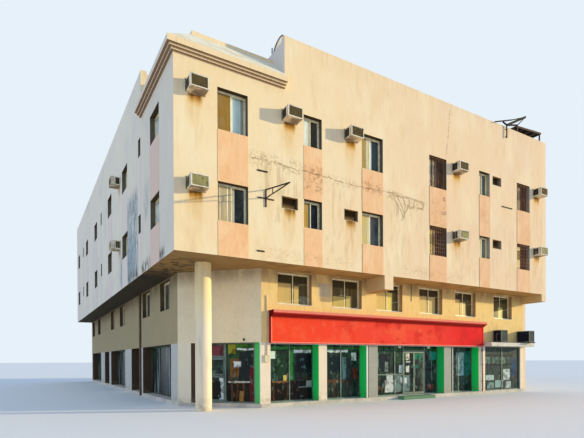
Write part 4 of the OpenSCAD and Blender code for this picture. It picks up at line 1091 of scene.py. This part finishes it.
def shop_trims():
    """White strips on piers, the dark and white lines under the sign, and the trunking on the first pier."""
    white = Build("pier_trims")
    for u in ((8.98, 9.06), (14.62, 14.66), (16.78, 16.87), (17.0, 17.04)):
        white.box(SHOPS, u, (0, 0.02), (PLINTH, SHOP_HEAD), 0.003)
    white.box(SHOPS, SIGN_SPAN, (0, 0.03), (SHOP_HEAD - 0.06, SHOP_HEAD - 0.012))
    white.box(SHOPS, (3.69, 3.73), (0, 0.01), (PLINTH, SHOP_HEAD))
    white.done(WHITE_TRIM)
    # A black strip in a pier's gap is painted shade; the line under the sign and the studs on the cut corner
    # are black as well
    dark = Build("pier_gap")
    dark.box(SHOPS, (9.09, 9.115), (0, 0.004), (PLINTH, SHOP_HEAD - 0.07))
    dark.box(SHOPS, SIGN_SPAN, (0, 0.04), (SHOP_HEAD - 0.012, SHOP_HEAD + 0.04))
    for u in (0.92, 2.88):
        dark.box(CUT, (u - 0.02, u + 0.02), (0, 0.08), (SHOP_HEAD + 0.06, SHOP_HEAD + 0.16), 0.006)
    dark.done(BLACK_AND_SHADE)
    trunk = Build("pier_trunking")
    trunk.box(SHOPS, (3.955, 4.0), (0, 0.04), (2.05, 4.4), 0.004)
    trunk.box(SHOPS, (3.86, 4.08), (0, 0.06), (1.78, 2.06), 0.006)
    trunk.done(plain_coat("trunking", (238, 222, 176), (214, 196, 148), (160, 138, 98), 3))


LAMP_SPOTS = (11.16, 13.10)


def shop_lamps():
    """Small lamps over the shop door."""
    lamps = Build("shop_lamps")
    for u in LAMP_SPOTS:
        lamps.box(SHOPS, (u - 0.05, u + 0.05), (-0.24, -0.12), (SHOP_HEAD - 0.15, SHOP_HEAD), 0.01)
    lamps.done(WHITE_TRIM)


PIPE_X = 16.93


def front_pipe():
    """The brown pipe that comes down beside the last shop, with its clips."""
    pipe = Build("front_pipe")
    levels = (PLINTH, 0.6, 1.1, 1.6, 2.1, 2.5)
    pipe.rod([SHOPS.at(PIPE_X + 0.02 * math.sin(z * 2.3), 0.05, z) for z in levels], 0.03, 10)
    for z in (0.7, 1.6, 2.3):
        pipe.box(SHOPS, (16.88, 17.0), (0, 0.085), (z - 0.012, z + 0.012))
    brown = plain_coat("front_pipe_brown", (134, 92, 62), (104, 74, 52), (64, 48, 36), 4, 0.3, 0.6)
    pipe.done(brown, smooth=True)


# Stage

FLOOR_HALF = 900
FLOOR_Z = -0.003


def stage_shader(owner, kind, output, lighting, shown):
    """Lights the object with one shader and shows the other to the camera, in reflections and glass."""
    rays = ("Is Camera Ray", "Is Glossy Ray", "Is Transmission Ray")
    seen = most(*[Field("ShaderNodeLightPath", output=ray) for ray in rays])
    shaders = [Field(kind, tuple(values.items())) for values in (lighting, shown)]
    owner.use_nodes = True
    owner.node_tree.nodes.clear()
    both = Field("ShaderNodeMixShader", tuple(enumerate((seen, *shaders))))
    feed(owner.node_tree.nodes.new(output).inputs[0], both, owner.node_tree, {})


def make_floor():
    mesh = bpy.data.meshes.new("floor")
    corners = [(x * FLOOR_HALF, y * FLOOR_HALF, FLOOR_Z) for x, y in ((-1, -1), (1, -1), (1, 1), (-1, 1))]
    mesh.from_pydata(corners, [], [(0, 1, 2, 3)])
    material = bpy.data.materials.new("pale_floor")
    stage_shader(material, "ShaderNodeBsdfDiffuse", "ShaderNodeOutputMaterial",
                 {"Color": (1.0, 0.87, 0.73, 1)}, {"Color": (1.0, 0.92, 0.79, 1)})
    mesh.materials.append(material)
    floor = bpy.data.objects.new("floor", mesh)
    bpy.context.scene.collection.objects.link(floor)


def make_lamp(name, strength, spread, tone, ahead):
    """A sun lamp that shines along a direction."""
    data = bpy.data.lights.new(name, "SUN")
    data.energy = strength
    data.angle = math.radians(spread)
    data.color = tone
    lamp = bpy.data.objects.new(name, data)
    lamp.rotation_mode = "QUATERNION"
    lamp.rotation_quaternion = Vector(ahead).to_track_quat("-Z", "Y")
    bpy.context.scene.collection.objects.link(lamp)


SUN_AZIMUTH = math.radians(64.5)
SUN_HEIGHT = math.radians(11)
SUN_STRENGTH = 3.5
FILL_STRENGTH = 0.47
SKY_STRENGTH = 0.58


def make_light():
    """A low sun on the front, a wide, weak light from the side street and a pale blue sky."""
    level = math.cos(SUN_HEIGHT)
    ahead = (-math.sin(SUN_AZIMUTH) * level, math.cos(SUN_AZIMUTH) * level, -math.sin(SUN_HEIGHT))
    make_lamp("sun", SUN_STRENGTH, 1.2, (1.0, 0.86, 0.53), ahead)
    make_lamp("fill", FILL_STRENGTH, 60, (1.0, 0.98, 0.92), (1, -0.1, -0.3))
    world = bpy.data.worlds.new("studio")
    bpy.context.scene.world = world
    stage_shader(world, "ShaderNodeBackground", "ShaderNodeOutputWorld",
                 {"Color": (0.56, 0.86, 1.44, 1), "Strength": SKY_STRENGTH},
                 {"Color": (0.80, 0.88, 0.95, 1), "Strength": 1})


CAMERA_PLACE = (-5.679, -16.077, 1.836)
CAMERA_YAW = 30.476
CAMERA_PITCH = -0.296
CAMERA_ROLL = -0.252
CAMERA_LENS = 27.92
CAMERA_SHIFT = (0.0005, 0.2465)


def make_camera():
    """The photograph's camera, which looked level with its frame shifted up."""
    data = bpy.data.cameras.new("camera")
    data.lens = CAMERA_LENS
    data.sensor_width = 36
    data.shift_x, data.shift_y = CAMERA_SHIFT
    data.clip_end = 3000
    yaw, pitch, roll = (math.radians(a) for a in (CAMERA_YAW, CAMERA_PITCH, CAMERA_ROLL))
    ahead = Vector((math.sin(yaw) * math.cos(pitch), math.cos(yaw) * math.cos(pitch), math.sin(pitch)))
    right = Vector((math.cos(yaw), -math.sin(yaw), 0))
    over_it = right.cross(ahead)
    tilted_right = math.cos(roll) * right + math.sin(roll) * over_it
    tilted_over = math.cos(roll) * over_it - math.sin(roll) * right
    axes = Matrix((tilted_right, tilted_over, -ahead)).transposed()
    camera = bpy.data.objects.new("camera", data)
    camera.matrix_world = Matrix.Translation(CAMERA_PLACE) @ axes.to_4x4()
    bpy.context.scene.collection.objects.link(camera)
    bpy.context.scene.camera = camera


bpy.context.scene.view_settings.view_transform = "Standard"
make_camera()
make_light()
make_floor()
dress_frame()
unit_grilles()
unit_louvres()
condenser_grilles()
sleeve_edges()
window_bars()
wall_straps()
mezzanine_sills()
shop_trims()
shop_lamps()
front_pipe()
